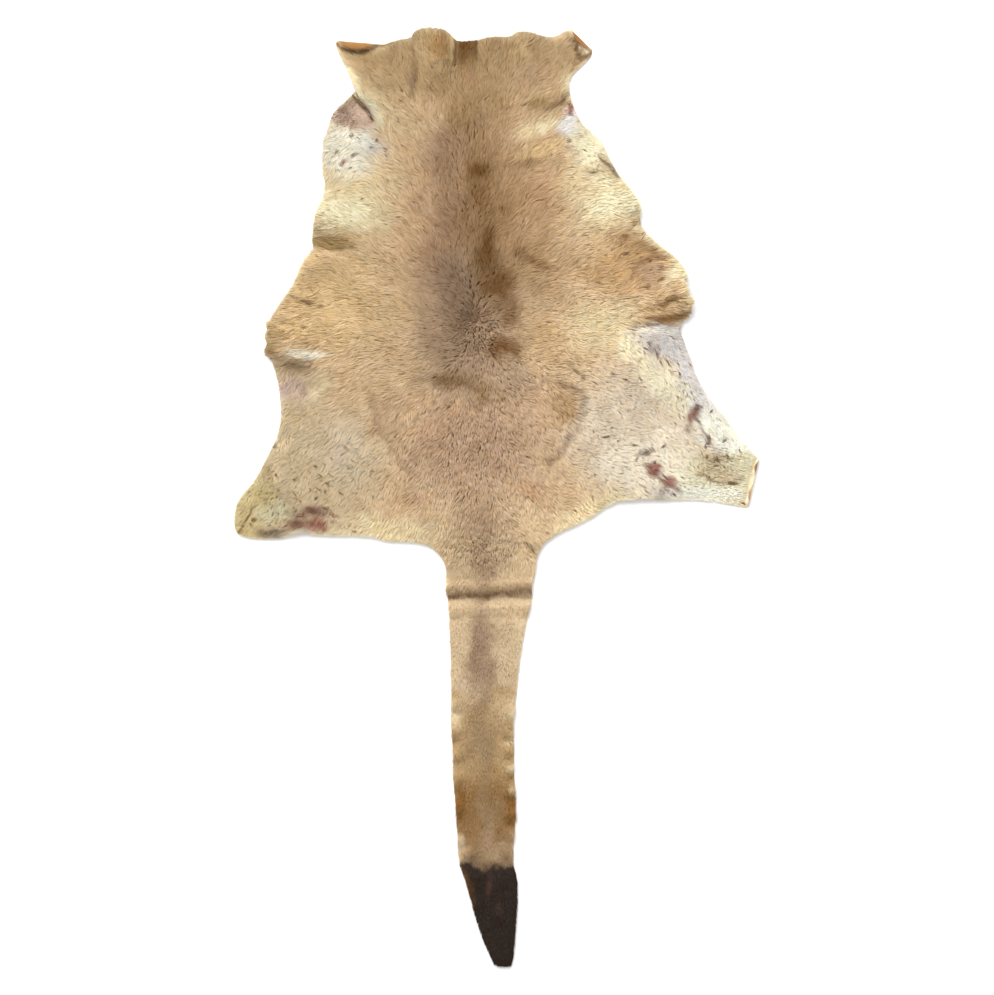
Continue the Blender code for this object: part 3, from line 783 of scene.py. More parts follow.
# %% Lay out the tail
TAIL_BRUSHES = [
    Brush("tail root, sides", 488, 565, 70, 34, 0, 0.5, "beige", 0.6),
    Brush("upper tail", 488, 670, 80, 110, 0, 0.3, "fawn", 0.95),
    Brush("middle of the tail", 486, 765, 60, 90, 0, 0.6, "tail tan", 0.95),
    Brush("lower tail", 486, 818, 60, 60, 0, 0.6, "amber", 0.8),
    Brush("tail root, middle", 484, 560, 24, 44, 0, 0.9, "rosy brown", 0.75),
    Brush("upper tail, left rim", 451, 700, 10, 60, 0, 0.9, "cream", 0.15),
    Brush("upper tail, right rim", 523, 650, 12, 80, 3, 0.9, "cream", 0.35),
    Brush("dark stripe", 481, 650, 22, 95, 0, 0.85, "rosy brown", 1.0),
    Brush("dark stripe, middle", 483, 740, 28, 70, 0, 1.0, "tail brown", 1.0),
    Brush("dark stripe, lower", 488, 820, 19, 60, 0, 1.0, "tail brown", 0.9),
    Brush("stripe, left line", 475, 640, 4, 50, 0, 1.0, "rosy brown", 0.6),
    Brush("stripe, right line", 489, 655, 4, 60, 0, 1.0, "rosy brown", 0.5),
    Brush("upper tail, shade", 455, 695, 16, 12, 0, 1.0, "tail tan", 0.8),
    Brush("upper tail, shade", 502, 694, 24, 12, 0, 1.0, "tail tan", 0.8),
    Brush("left rim, amber", 453, 740, 9, 17, 0, 0.9, "amber", 0.45),
    Brush("left rim, deep amber", 459, 803, 9, 24, 0, 0.8, "amber", 0.95),
    Brush("right rim, deep amber", 511, 812, 10, 24, 0, 0.8, "amber", 0.95),
    Brush("right rim, dark bands", 511, 730, 9, 4, 0, 0.9, "tail brown", 0.8),
    Brush("right rim, dark bands", 509, 760, 10, 3.5, 0, 0.9, "brown", 0.8),
    Brush("right rim, dark bands", 512, 778, 9, 4, 0, 0.9, "amber", 0.7),
    Brush("right rim, pale bands", 511, 716, 9, 6, 0, 0.9, "cream", 0.8),
    Brush("right rim, pale bands", 511, 744, 9, 6, 0, 0.9, "cream", 0.8),
    Brush("right rim, pale bands", 512, 768, 8, 5, 0, 0.9, "cream", 0.7),
    Brush("right rim, pale bands", 513, 790, 7, 5, 0, 0.9, "beige", 0.7),
    Brush("left rim, pale bands", 453, 718, 8, 8, 0, 0.9, "cream", 0.6),
    Brush("left rim, pale bands", 454, 768, 7, 8, 0, 0.9, "beige", 0.7),
    Brush("above the tip, left", 459, 844, 7, 15, 0, 0.9, "beige", 0.9),
    Brush("above the tip, right", 514, 842, 4, 12, 0, 0.9, "copper", 0.7),
    Brush("above the tip, middle", 488, 842, 14, 20, 0, 1.0, "rosy tan", 0.4),
    Brush("shade over the tip, left", 472, 860, 14, 12, 0, 1.0, "shade brown", 0.9),
    Brush("shade over the tip, right", 508, 860, 15, 16, 0, 1.0, "shade brown", 0.75),
    Brush("shade over the tip, middle", 488, 866, 34, 9, 0, 1.0, "shade brown", 0.85),
    Brush("dark tip", 488, 1063, 400, 200, 0, 0.03, "near black", 1.0),
    Brush("tip, left rim", 466, 884, 8, 32, 16, 0.9, "orange brown", 0.5),
    Brush("tip, reddish streak", 489, 886, 5, 22, 0, 1.0, "dark red brown", 0.8),
    Brush("tip, reddish streak", 500, 905, 4, 18, 0, 1.0, "dark red brown", 0.5),
]
print(len(TAIL_BRUSHES), "brushes on the tail")

# %% Lay out the strokes
Stroke = namedtuple("Stroke", "name path width tone share")

STROKES = [
    # The arcs of the thighs are creases, darkened with painted shade.
    Stroke("right thigh arc", [(560, 384), (576, 388), (586, 398), (584, 412), (577, 430), (565, 448),
                               (547, 463)], 5, "shade brown", 0.65),
    Stroke("left thigh arc", [(370, 400), (378, 425), (388, 445), (398, 458), (412, 470)],
           4, "shade brown", 0.4),
    Stroke("left thigh, inner arc", [(402, 444), (412, 456), (418, 462)], 3, "shade brown", 0.4),
    Stroke("groin line", [(570, 362), (575, 370), (583, 379)], 2.5, "fleck brown", 0.85),
    # painted crease shade above the groin line
    Stroke("above the groin line", [(570, 362), (580, 358)], 2, "shade brown", 0.5),
    # Painted shade and shadow lines in the crease across the tail, then painted light on the slope
    # behind it, which faces away from the lamp.
    Stroke("crease across the tail, shade", [(443, 593), (470, 594), (500, 592), (534, 590)],
           7, "tail brown", 0.8),
    Stroke("crease across the tail, left", [(446, 597), (470, 597), (490, 599)],
           3.4, "shadow line", 0.9),
    Stroke("crease across the tail, right", [(486, 597), (505, 594), (533, 594)],
           3, "shadow line", 0.8),
    Stroke("painted light behind the crease", [(448, 613), (526, 612)], 9, "painted tail light", 0.4),
    # Painted shade in the crease by the tail root and in the crease of the left foot.
    Stroke("crease by the tail root", [(525, 541), (532, 546), (538, 554)], 2.5, "fleck brown", 0.8),
    Stroke("crease of the left foot", [(254, 504), (248, 517), (236, 532)], 1.9, "deep brown", 0.85),
    # Painted shade in the fold and the pleat of the neck, and painted shadow under the rolled left
    # corner and inside the rolled right corner.
    Stroke("fold of the neck", [(416, 32), (415, 55), (414, 76), (411, 96)], 4.5, "shade brown", 0.5),
    Stroke("pleat, left side", [(455, 36), (455, 62)], 3, "shadow line", 0.75),
    Stroke("pleat, right side", [(474, 36), (476, 56)], 3, "shadow line", 0.7),
    Stroke("under the left corner's suede", [(338, 44), (344, 50), (354, 52), (368, 50)],
           2.8, "shadow line", 0.8),
    Stroke("right neck corner, fold", [(574, 39), (576, 48)], 3.4, "shadow line", 0.8),
    Stroke("right neck corner, inside", [(578, 53), (584, 55), (591, 52)], 4.5, "shadow line", 0.8),
    Stroke("right neck corner, strands", [(572, 62), (582, 58)], 3, "fleck brown", 0.6),
    # painted highlight on the rolled right corner of the neck
    Stroke("right neck corner, painted highlight", [(581, 46), (587, 50)], 2.4, "white hair", 0.9),
    # painted shade in the fold beside the right pucker
    Stroke("fold beside the right pucker", [(517, 38), (519, 58)], 3, "olive brown", 0.6),
    Stroke("neck's pale edge", [(353, 80), (362, 95), (373, 111), (381, 123)], 6.5, "pale cream", 0.9),
    # painted shadow of the neck's lip on the foreleg beside the slit
    Stroke("under the neck's edge", [(354, 92), (362, 104), (371, 118)], 2.6, "shadow line", 0.8),
    Stroke("over the right armpit", [(546, 109), (556, 104), (569, 93)], 5, "fleck brown", 0.7),
    Stroke("dark back, branch", [(516, 250), (530, 259), (548, 269)], 8, "deep brown", 0.6),
    Stroke("right foreleg, marks", [(602, 153), (607, 163), (611, 170), (618, 177)],
           3, "fleck brown", 0.8),
    Stroke("right foreleg, mark", [(586, 173), (599, 171)], 2.6, "fleck brown", 0.7),
    Stroke("raw patch, upper", [(697, 404), (692, 416), (688, 433)], 4.5, "raw brown", 0.7),
    Stroke("under the raw patch", [(697, 418), (704, 430), (709, 443)], 3, "dark mauve", 0.75),
    Stroke("raw patch, lower", [(645, 466), (656, 474), (663, 480)], 5, "raw brown", 0.6),
    Stroke("raw patch, foot", [(663, 480), (672, 487), (679, 493)], 4, "raw brown", 0.7),
    Stroke("raw patch, last", [(666, 490), (660, 500)], 4, "dark mauve", 0.7),
    Stroke("over the lower raw patch", [(638, 458), (647, 451), (653, 449)],
           3.4, "dark mauve", 0.8),
    Stroke("right foot, fold", [(700, 474), (716, 481), (734, 483), (747, 477)],
           3, "fleck brown", 0.55),
    Stroke("wedge on the right ridge", [(661, 303), (670, 300), (679, 298)], 3.5, "deep brown", 0.8),
    Stroke("behind the right ridge", [(618, 299), (640, 298)], 2.5, "fleck brown", 0.6),
    Stroke("left flank, dark", [(300, 300), (309, 303), (322, 307)], 3.5, "deep brown", 0.8),
    Stroke("left flank, rim", [(275, 319), (289, 323)], 3, "olive brown", 0.8),
    Stroke("left ridge, line", [(272, 334), (290, 339)], 3, "olive brown", 0.7),
    # Painted shade under the left valley and painted shadow under both ridges.
    Stroke("under the left valley", [(316, 247), (334, 250), (352, 247)], 3, "shade brown", 0.5),
    Stroke("under the left ridge", [(270, 356), (290, 362), (312, 358)], 2.5, "fleck grey", 0.5),
    Stroke("under the right ridge", [(636, 326), (655, 325), (680, 322)], 3, "shade brown", 0.65),
    Stroke("on the right ridge", [(648, 306), (665, 302), (684, 298)], 2.5, "deep brown", 0.5),
    Stroke("spine", [(466, 110), (468, 150), (467, 200), (466, 240)], 3, "brown", 0.35),
    Stroke("edge of the rosy spot", [(633, 275), (635, 267), (642, 260), (652, 257), (663, 259)],
           5, "raw brown", 0.7),
    Stroke("edge of the left foot", [(262, 444), (252, 470), (240, 492)], 3, "golden brown", 0.4),
]


def from_stroke(places, path):
    """How far places are from a broken line, in pixels."""
    nearest = np.full(len(places), np.inf)
    for start, end in zip(np.array(path[:-1], float), np.array(path[1:], float)):
        line = end - start
        share = np.clip((places - start) @ line / (line @ line), 0, 1)
        nearest = np.minimum(nearest, np.linalg.norm(places - start - share[:, None] * line, axis=1))
    return nearest


print(len(STROKES), "strokes")

# %% [markdown]
# ## Brushing the tones on
#
# Real markings have no drawn edge: hairs of one tone reach in among those of the next. So each place
# is first shifted a little by two wandering fields, a slow one and a quick one, and only then looked
# up in the brushes. Whole tufts are looked up at once, which keeps them together as on the real skin.

# %% Look up the coat's colour
SLOW_SHIFT = 4.5
SLOW_SIZE = 34
QUICK_SHIFT = 2.0
QUICK_SIZE = 9
STROKE_SHIFT = 0.35
SMALL_BRUSH = 16
SLOW_SEEDS = (11, 12)
QUICK_SEEDS = (13, 14)


def shifted(places):
    """Places in the photograph, each moved by a pixel or some, so that no border is a clean curve."""
    slow = np.stack([wander(places, SLOW_SIZE, seed) for seed in SLOW_SEEDS], axis=1)
    quick = np.stack([wander(places, QUICK_SIZE, seed) for seed in QUICK_SEEDS], axis=1)
    return places + slow * SLOW_SHIFT + quick * QUICK_SHIFT


# The thin hair at the rim lets the light through and looks paler.
RIM_PALENESS = 0.3
RIM_REACH = 1.2
PALE_EDGE = 0.6
PaleRim = namedtuple("PaleRim", "name x y across along share")

PALE_RIMS = [
    PaleRim("right flank", 668, 262, 48, 62, 0.9),
    PaleRim("neck, left", 345, 80, 22, 40, 0.6),
    PaleRim("neck, right", 566, 84, 16, 26, 0.7),
    PaleRim("left flank", 296, 285, 40, 40, 0.4),
    PaleRim("rump, left", 350, 535, 90, 18, 0.7),
    PaleRim("rump, right", 590, 515, 80, 26, 0.7),
]


def brushed(colour, rows, places, drawn):
    """Colours with brush rows laid over them. Small brushes wander less, to stay where they are."""
    for row in rows:
        spots = drawn if min(row.across, row.along) < SMALL_BRUSH else places
        share = row.share * oval(spots, row, row.turn, row.edge)
        colour = colour + share[:, None] * (HUES[row.tone] - colour)
    return colour


def coat_colour(spots):
    """The colour of the coat at places in metres."""
    exact = in_photo(spots)
    places = shifted(exact)
    drawn = exact + (places - exact) * STROKE_SHIFT
    colour = np.tile(UNDERCOAT, (len(places), 1))
    near_rim = soft(RIM_REACH * rimness(spots))[:, None]
    colour = brushed(colour, BROAD_BRUSHES, places, drawn)
    colour += RIM_PALENESS * near_rim * (HUES["rim cream"] - colour)
    colour = brushed(colour, MARKINGS, places, drawn)
    for row in PALE_RIMS:
        share = row.share * oval(exact, row, edge=PALE_EDGE)
        colour += share[:, None] * near_rim * (HUES["rim cream"] - colour)
    colour = brushed(colour, TAIL_BRUSHES, places, drawn)
    # Most strokes lay painted shade and painted shadow, and one each painted light and painted
    # highlight.
    for row in STROKES:
        share = row.share * soft(1 - from_stroke(drawn, row.path) / row.width)
        colour += share[:, None] * (HUES[row.tone] - colour)
    return colour


print("colour on the dark back:", coat_colour(on_hide([[492, 288]])).round(3))

# %% [markdown]
# ## Tufts
#
# Hair never lies evenly. It gathers in tufts a few millimetres wide, whose hairs bend to one common
# tip, and the dark gaps between the tufts are what the eye reads as hair. One tuft stands somewhere
# in each square of a fine grid, and each hair belongs to the nearest. The numbers of a tuft come from
# its square, so that two pieces of the coat agree about a tuft on their border.

# %% Give each hair its tuft
TUFT_SIZE = 7.2 * MM
TAIL_TUFT_SIZE = 3.4 * MM
DICE_ACROSS = 12.9898
DICE_ALONG = 78.233
DICE_THROW = 37.719
DICE_SCALE = 43758.5453


def dice(squares, throw):
    """A number from 0 to 1 for each square, always the same for the same square and throw."""
    mixed = squares[:, 0] * DICE_ACROSS + squares[:, 1] * DICE_ALONG + throw * DICE_THROW
    return np.sin(mixed) * DICE_SCALE % 1


def tuft_of(spots, size):
    """The middle of the nearest tuft and its square, for places in metres."""
    home = np.floor(spots / size)
    nearest = np.full(len(spots), np.inf)
    middle = np.zeros_like(spots)
    square = np.zeros_like(spots)
    for across in (-1, 0, 1):
        for along in (-1, 0, 1):
            here = home + [across, along]
            point = (here + np.stack([dice(here, 1), dice(here, 2)], axis=1)) * size
            off = np.linalg.norm(point - spots, axis=1)
            closer = off < nearest
            nearest[closer] = off[closer]
            middle[closer] = point[closer]
            square[closer] = here[closer]
    return middle, square


first_tuft = tuft_of(np.zeros((1, 2)), TUFT_SIZE)[0]
print("the tuft nearest to the origin stands at", (first_tuft / MM).round(1), "mm")

# %% [markdown]
# ## Hair stays on its side
#
# A hair is cut short where it would hang past the outline by more than a trace. Nor may it poke out
# through a turned-over corner, or lie across the slit at the left armpit onto the bare skin beside
# it. Each of these is a fence, which no hair crosses from the right of its line to the left. Hair that
# has its root behind the fence by less than so many millimetres is cut to a stub, because the
# turned-over leather lies on it.

# %% Keep hair inside the outline and behind the fences
Fence = namedtuple("Fence", "name x0 y0 x1 y1 behind")

FENCES = [
    Fence("roll of the left neck corner", 331, 45, 371, 48.3, 40),
    Fence("roll of the right neck corner", 570, 32, 590, 52, 40),
    Fence("roll of the right foot", 756.5, 461, 746, 508, 40),
    Fence("slit at the left armpit", 371.5, 117.5, 353, 88, 1),
]
FENCE_ENDS = 0.1
STEPS_ALONG_HAIR = [0.2, 0.35, 0.5, 0.65, 0.8, 0.9, 1.0]
STUB = 0.12


def across_fence(starts, ends):
    """Whether hairs from one place to another cross a fence."""
    crossed = np.zeros(len(starts), bool)
    for row in FENCES:
        first, last = on_hide([[row.x0, row.y0], [row.x1, row.y1]])
        line = last - first
        length = np.linalg.norm(line)
        before = np.cross(line, starts - first) / length
        after = np.cross(line, ends - first) / length
        share = (ends - first) @ line / length ** 2
        crossed |= ((after > 0) & (before < row.behind * MM) & (share > -FENCE_ENDS)
                    & (share < 1 + FENCE_ENDS))
    return crossed


def free_share(starts, ends):
    """How much of each hair, from its root to its tip, stays over the hide and behind the fences."""
    free = np.ones(len(starts), bool)
    share = np.full(len(starts), STUB)
    for step in STEPS_ALONG_HAIR:
        here = starts + (ends - starts) * step
        free &= over_hide(here) & ~across_fence(starts, here)
        share[free] = step
    return share


print(len(FENCES), "fences")

# %% [markdown]
# ## One hair, many hairs
#
# A real hide has far more hairs than a model can hold, so each blade here stands for a small bunch.
# It is a ribbon of one four-sided and one three-cornered face, broad at its root and pointed at its
# tip. It rises quickly through the coat and then lies along it. All blades of a piece are worked out
# at once, as arrays, which takes seconds instead of minutes.

# %% Shape the blades
HAIR_WIDTH = 1.25 * MM
TAIL_HAIR_WIDTH = 0.85 * MM
GATHER = 0.3
WANDER_TURN = 0.22
WANDER_SIZE = 0.07
BEND_TURN = 0.16
BEND_SIZE = 0.035
TUFT_TURN = 0.22
HAIR_TURN = 0.10
KNEE = 0.42
KNEE_LIFT = 0.8
KNEE_WIDTH = 0.9
LEAST_LIFT = 0.7 * MM
TWIST = 0.2


def unit(vectors):
    """Vectors made one long."""
    return vectors / np.maximum(np.linalg.norm(vectors, axis=1, keepdims=True), 1e-9)


def flat(heading):
    """Flat directions for headings in radians."""
    return np.stack([np.cos(heading), np.sin(heading)], axis=1)


def along_leather(moves, normal):
    """Flat moves, tilted so that they run along the leather."""
    raised = np.column_stack([moves, np.zeros(len(moves))])
    return raised - normal * (raised * normal).sum(axis=1, keepdims=True)


def blades(root, normal, knee_move, tip_move, lift, width, rng):
    """The five points of each blade, from moves over the leather and heights above it."""
    knee = root + along_leather(knee_move, normal) + normal * (lift * KNEE_LIFT)[:, None]
    tip = root + along_leather(tip_move, normal) + normal * lift[:, None]
    ahead = unit(tip - root)
    side = unit(np.cross(normal, ahead))
    twist = rng.normal(0, TWIST, len(root))[:, None]
    side = side * np.cos(twist) + np.cross(ahead, side) * np.sin(twist)
    half = side * width[:, None] / 2
    narrow = half * KNEE_WIDTH
    return np.stack([root - half, root + half, knee + narrow, knee - narrow, tip], axis=1)


print("a blade has 5 points and, once cut into triangles, 3 faces")

# %% Turn the blades into a mesh
BLADE_POINTS = 5
BLADE_LOOPS = np.array([0, 1, 2, 3, 3, 2, 4])
BLADE_FACES = np.array([0, 4])
ALONG = np.array([0.0, 0.0, 0.5, 0.5, 1.0])
# where hair is sleek, the painted shade at the foot of each blade is weaker
SLEEK_FEET = 0.75
CELL_CORNERS = np.array([[0.1, 0.1], [0.9, 0.1], [0.8, 0.5], [0.2, 0.5], [0.5, 0.9]])


def paint(mesh, name, colours):
    """Gives each point of a mesh its own colour, under a name that a shader can look up."""
    painted = mesh.attributes.new(name, "FLOAT_COLOR", "POINT")
    painted.data.foreach_set("color", np.column_stack([colours, np.ones(len(colours))]).ravel())


def hair_piece(name, points, low, high, sleek):
    """An object of blades, coloured low and high on each, with a square of the hair map for each."""
    count = len(points)
    mesh = bpy.data.meshes.new(name)
    mesh.vertices.add(count * BLADE_POINTS)
    mesh.vertices.foreach_set("co", points.ravel())
    blade = np.arange(count)
    loops = (blade[:, None] * BLADE_POINTS + BLADE_LOOPS).ravel()
    mesh.loops.add(len(loops))
    mesh.loops.foreach_set("vertex_index", loops)
    mesh.polygons.add(count * len(BLADE_FACES))
    starts = (blade[:, None] * len(BLADE_LOOPS) + BLADE_FACES).ravel()
    mesh.polygons.foreach_set("loop_start", starts)
    mesh.update(calc_edges=True)
    mesh.shade_smooth()
    paint(mesh, "coat", np.stack([low, low, low, low, high], axis=1).reshape(-1, 3))
    along = mesh.attributes.new("along", "FLOAT", "POINT")
    along.data.foreach_set("value", (1 - (1 - ALONG) * (1 - SLEEK_FEET * sleek)[:, None]).ravel())
    columns = math.ceil(math.sqrt(count))
    cell = np.stack([blade % columns, blade // columns], axis=1)
    corners = (cell[:, None] + CELL_CORNERS) / columns
    mesh.uv_layers.new(name="OFBake").data.foreach_set("uv", corners[:, BLADE_LOOPS].ravel())
    piece = bpy.data.objects.new(name, mesh)
    bpy.context.scene.collection.objects.link(piece)
    return piece


print("each blade gets its own square of the hair map")

# %% [markdown]
# ## Growing the coat
#
# The coat is grown in bands from the neck to the tail, so that no piece is too heavy. Roots are spread
# evenly over the leather, thinly where the coat has almost no depth, and not at all where the leather
# of a rolled corner faces down. Hair by hair, the direction, length, lift and tone vary a little
# around those of the tuft, and tufts vary around what the tables say.

# %% Spread the roots
BAND = 0.012
FACES_UP = 0.25
THIN_DEPTH = 3.5 * MM
BARE_SHARE = 0.06

thickly = soft(depth / THIN_DEPTH) * (1 - BARE_SHARE) + BARE_SHARE
thickly *= normals[:, 2] > FACES_UP
root_weight = triangle_area * thickly[triangles].min(axis=1)
triangle_row = in_photo(points[triangles].mean(axis=1))[:, 1]


def sprout(first_row, last_row, count, rng):
    """Root points between two rows of the photograph, with their normal and the coat's depth."""
    chosen = np.flatnonzero((triangle_row >= first_row) & (triangle_row < last_row))
    share = np.cumsum(root_weight[chosen])
    picks = chosen[np.searchsorted(share, (np.arange(count) + rng.random(count)) / count * share[-1])]
    shares = spread_over(triangles, picks, rng)[..., None]
    corners = triangles[picks]
    normal = unit((normals[corners] * shares).sum(axis=1))
    root = (points[corners] * shares).sum(axis=1) + normal * HAIR_ROOT
    deep = (depth[corners] * shares[..., 0]).sum(axis=1)
    order = np.lexsort((root[:, 0], np.floor(root[:, 1] / BAND)))
    return root[order], normal[order], deep[order]


print("share of the leather that is haired:", (root_weight.sum() / triangle_area.sum()).round(3))

# %% Grow one band
SLEEK_TUFTS = 0.75
SLEEK_LIFT = 0.8
TUFT_COLOUR = 0.5
TUFT_TONE = 0.11
HAIR_TONE = 0.085
TONE_WAVE = 0.03
TONE_WAVE_SIZE = 0.05
WARM = np.array([1.02, 1.0, 0.95])
COOL = np.array([0.97, 1.0, 1.04])
TONE_DEPTH = np.array([0.85, 1.0, 1.4])
# painted shade: sleek hair lies flat and shades itself less than shaggy hair, so it is painted a little
# darker, and a little greener
SLEEK_TINGE = np.array([0.86, 0.9, 0.94])
TONE_LIMITS = (0.4, 1.6)
SHORT_TUFT = 0.85
TUFT_LENGTHS = 0.3
LOW_TUFT = 0.25
TUFT_LIFTS = 0.3
HAIR_SINKS = (-0.05, 0.5)
HAIR_LENGTHS = (0.7, 1.1)
HAIR_WIDTHS = (0.7, 1.2)
TURN_THROW, LENGTH_THROW, LIFT_THROW, TONE_THROW, TINGE_THROW = 3, 4, 5, 6, 7
HEADING_SEED, BEND_SEED, TONE_SEED = 21, 22, 23


def grow(name, first_row, last_row, count, tuft_size, width, seed):
    """One piece of the coat, between two rows of the photograph."""
    rng = np.random.default_rng(seed)
    root, normal, deep = sprout(first_row, last_row, count, rng)
    spots = root[:, :2]
    middle, square = tuft_of(spots, tuft_size)
    slow = WANDER_TURN * wander(spots, WANDER_SIZE, HEADING_SEED)
    sleek = sleekness(spots)
    loose = 1 - SLEEK_TUFTS * sleek
    turn = (TUFT_TURN + ruffled(middle)) * loose
    shared = combed(middle) + slow + (dice(square, TURN_THROW) - 0.5) * turn
    heading = shared + rng.normal(0, HAIR_TURN, count)
    bend = BEND_TURN * wander(spots, BEND_SIZE, BEND_SEED)
    length = hair_length(spots) * (SHORT_TUFT + TUFT_LENGTHS * dice(square, LENGTH_THROW))
    uneven = 1 - SLEEK_LIFT * sleek
    lift = deep * (1 - (LOW_TUFT - TUFT_LIFTS * dice(square, LIFT_THROW)) * uneven)
    lift *= 1 - rng.uniform(*HAIR_SINKS, count) * uneven
    lift = np.maximum(lift, LEAST_LIFT)
    reach = np.sqrt(np.maximum(length ** 2 - lift ** 2, length ** 2 / 4))
    own = reach * rng.uniform(*HAIR_LENGTHS, count)
    tip = spots + flat(heading + bend) * own[:, None]
    tip += (GATHER * loose)[:, None] * (middle + flat(shared + bend) * reach[:, None] - tip)
    tip_move = (tip - spots) * free_share(spots, tip)[:, None]
    knee_move = flat(heading) * (np.linalg.norm(tip_move, axis=1) * KNEE)[:, None]
    wide = width * rng.uniform(*HAIR_WIDTHS, count)
    shape = blades(root, normal, knee_move, tip_move, lift, wide, rng)
    tone = (dice(square, TONE_THROW) - 0.5) * 2 * TUFT_TONE + rng.normal(0, HAIR_TONE, count)
    tone = 1 + tone * loose + TONE_WAVE * wander(spots, TONE_WAVE_SIZE, TONE_SEED)
    tinge = COOL + (WARM - COOL) * dice(square, TINGE_THROW)[:, None]
    tinge *= np.clip(tone, *TONE_LIMITS)[:, None] ** TONE_DEPTH * SLEEK_TINGE ** sleek[:, None]
    seen = spots + (middle - spots) * (TUFT_COLOUR * loose)[:, None]
    low = np.clip(coat_colour(seen + knee_move) * tinge, 0, 1)
    high = np.clip(coat_colour(seen + tip_move) * tinge, 0, 1)
    return hair_piece(name, shape, low, high, sleek)


COAT = [
    ("hair_neck", 20, 130, 34000, TUFT_SIZE, HAIR_WIDTH),
    ("hair_chest", 130, 235, 42000, TUFT_SIZE, HAIR_WIDTH),
    ("hair_back", 235, 325, 50000, TUFT_SIZE, HAIR_WIDTH),
    ("hair_loin", 325, 425, 55000, TUFT_SIZE, HAIR_WIDTH),
    ("hair_thighs", 425, 560, 58000, TUFT_SIZE, HAIR_WIDTH),
    ("hair_tail", 560, 990, 53000, TAIL_TUFT_SIZE, TAIL_HAIR_WIDTH),
]
hair_pieces = [grow(*row, seed) for seed, row in enumerate(COAT, 101)]
for piece in hair_pieces:
    piece.data.calc_loop_triangles()
    print(piece.name, len(piece.data.loop_triangles), "triangles")

# %% [markdown]
# ## Dark flecks
#
# On the thin belly and leg skin, single dark tufts lie on the pale coat like short brush marks. Each
# row below is a patch with so many of them, their usual heading and length. A fleck is a narrow bunch
# of eight dark blades that lie on top of the coat.

# %% Lay out the flecks
Flecks = namedtuple("Flecks", "name x y across along count heading length tone")

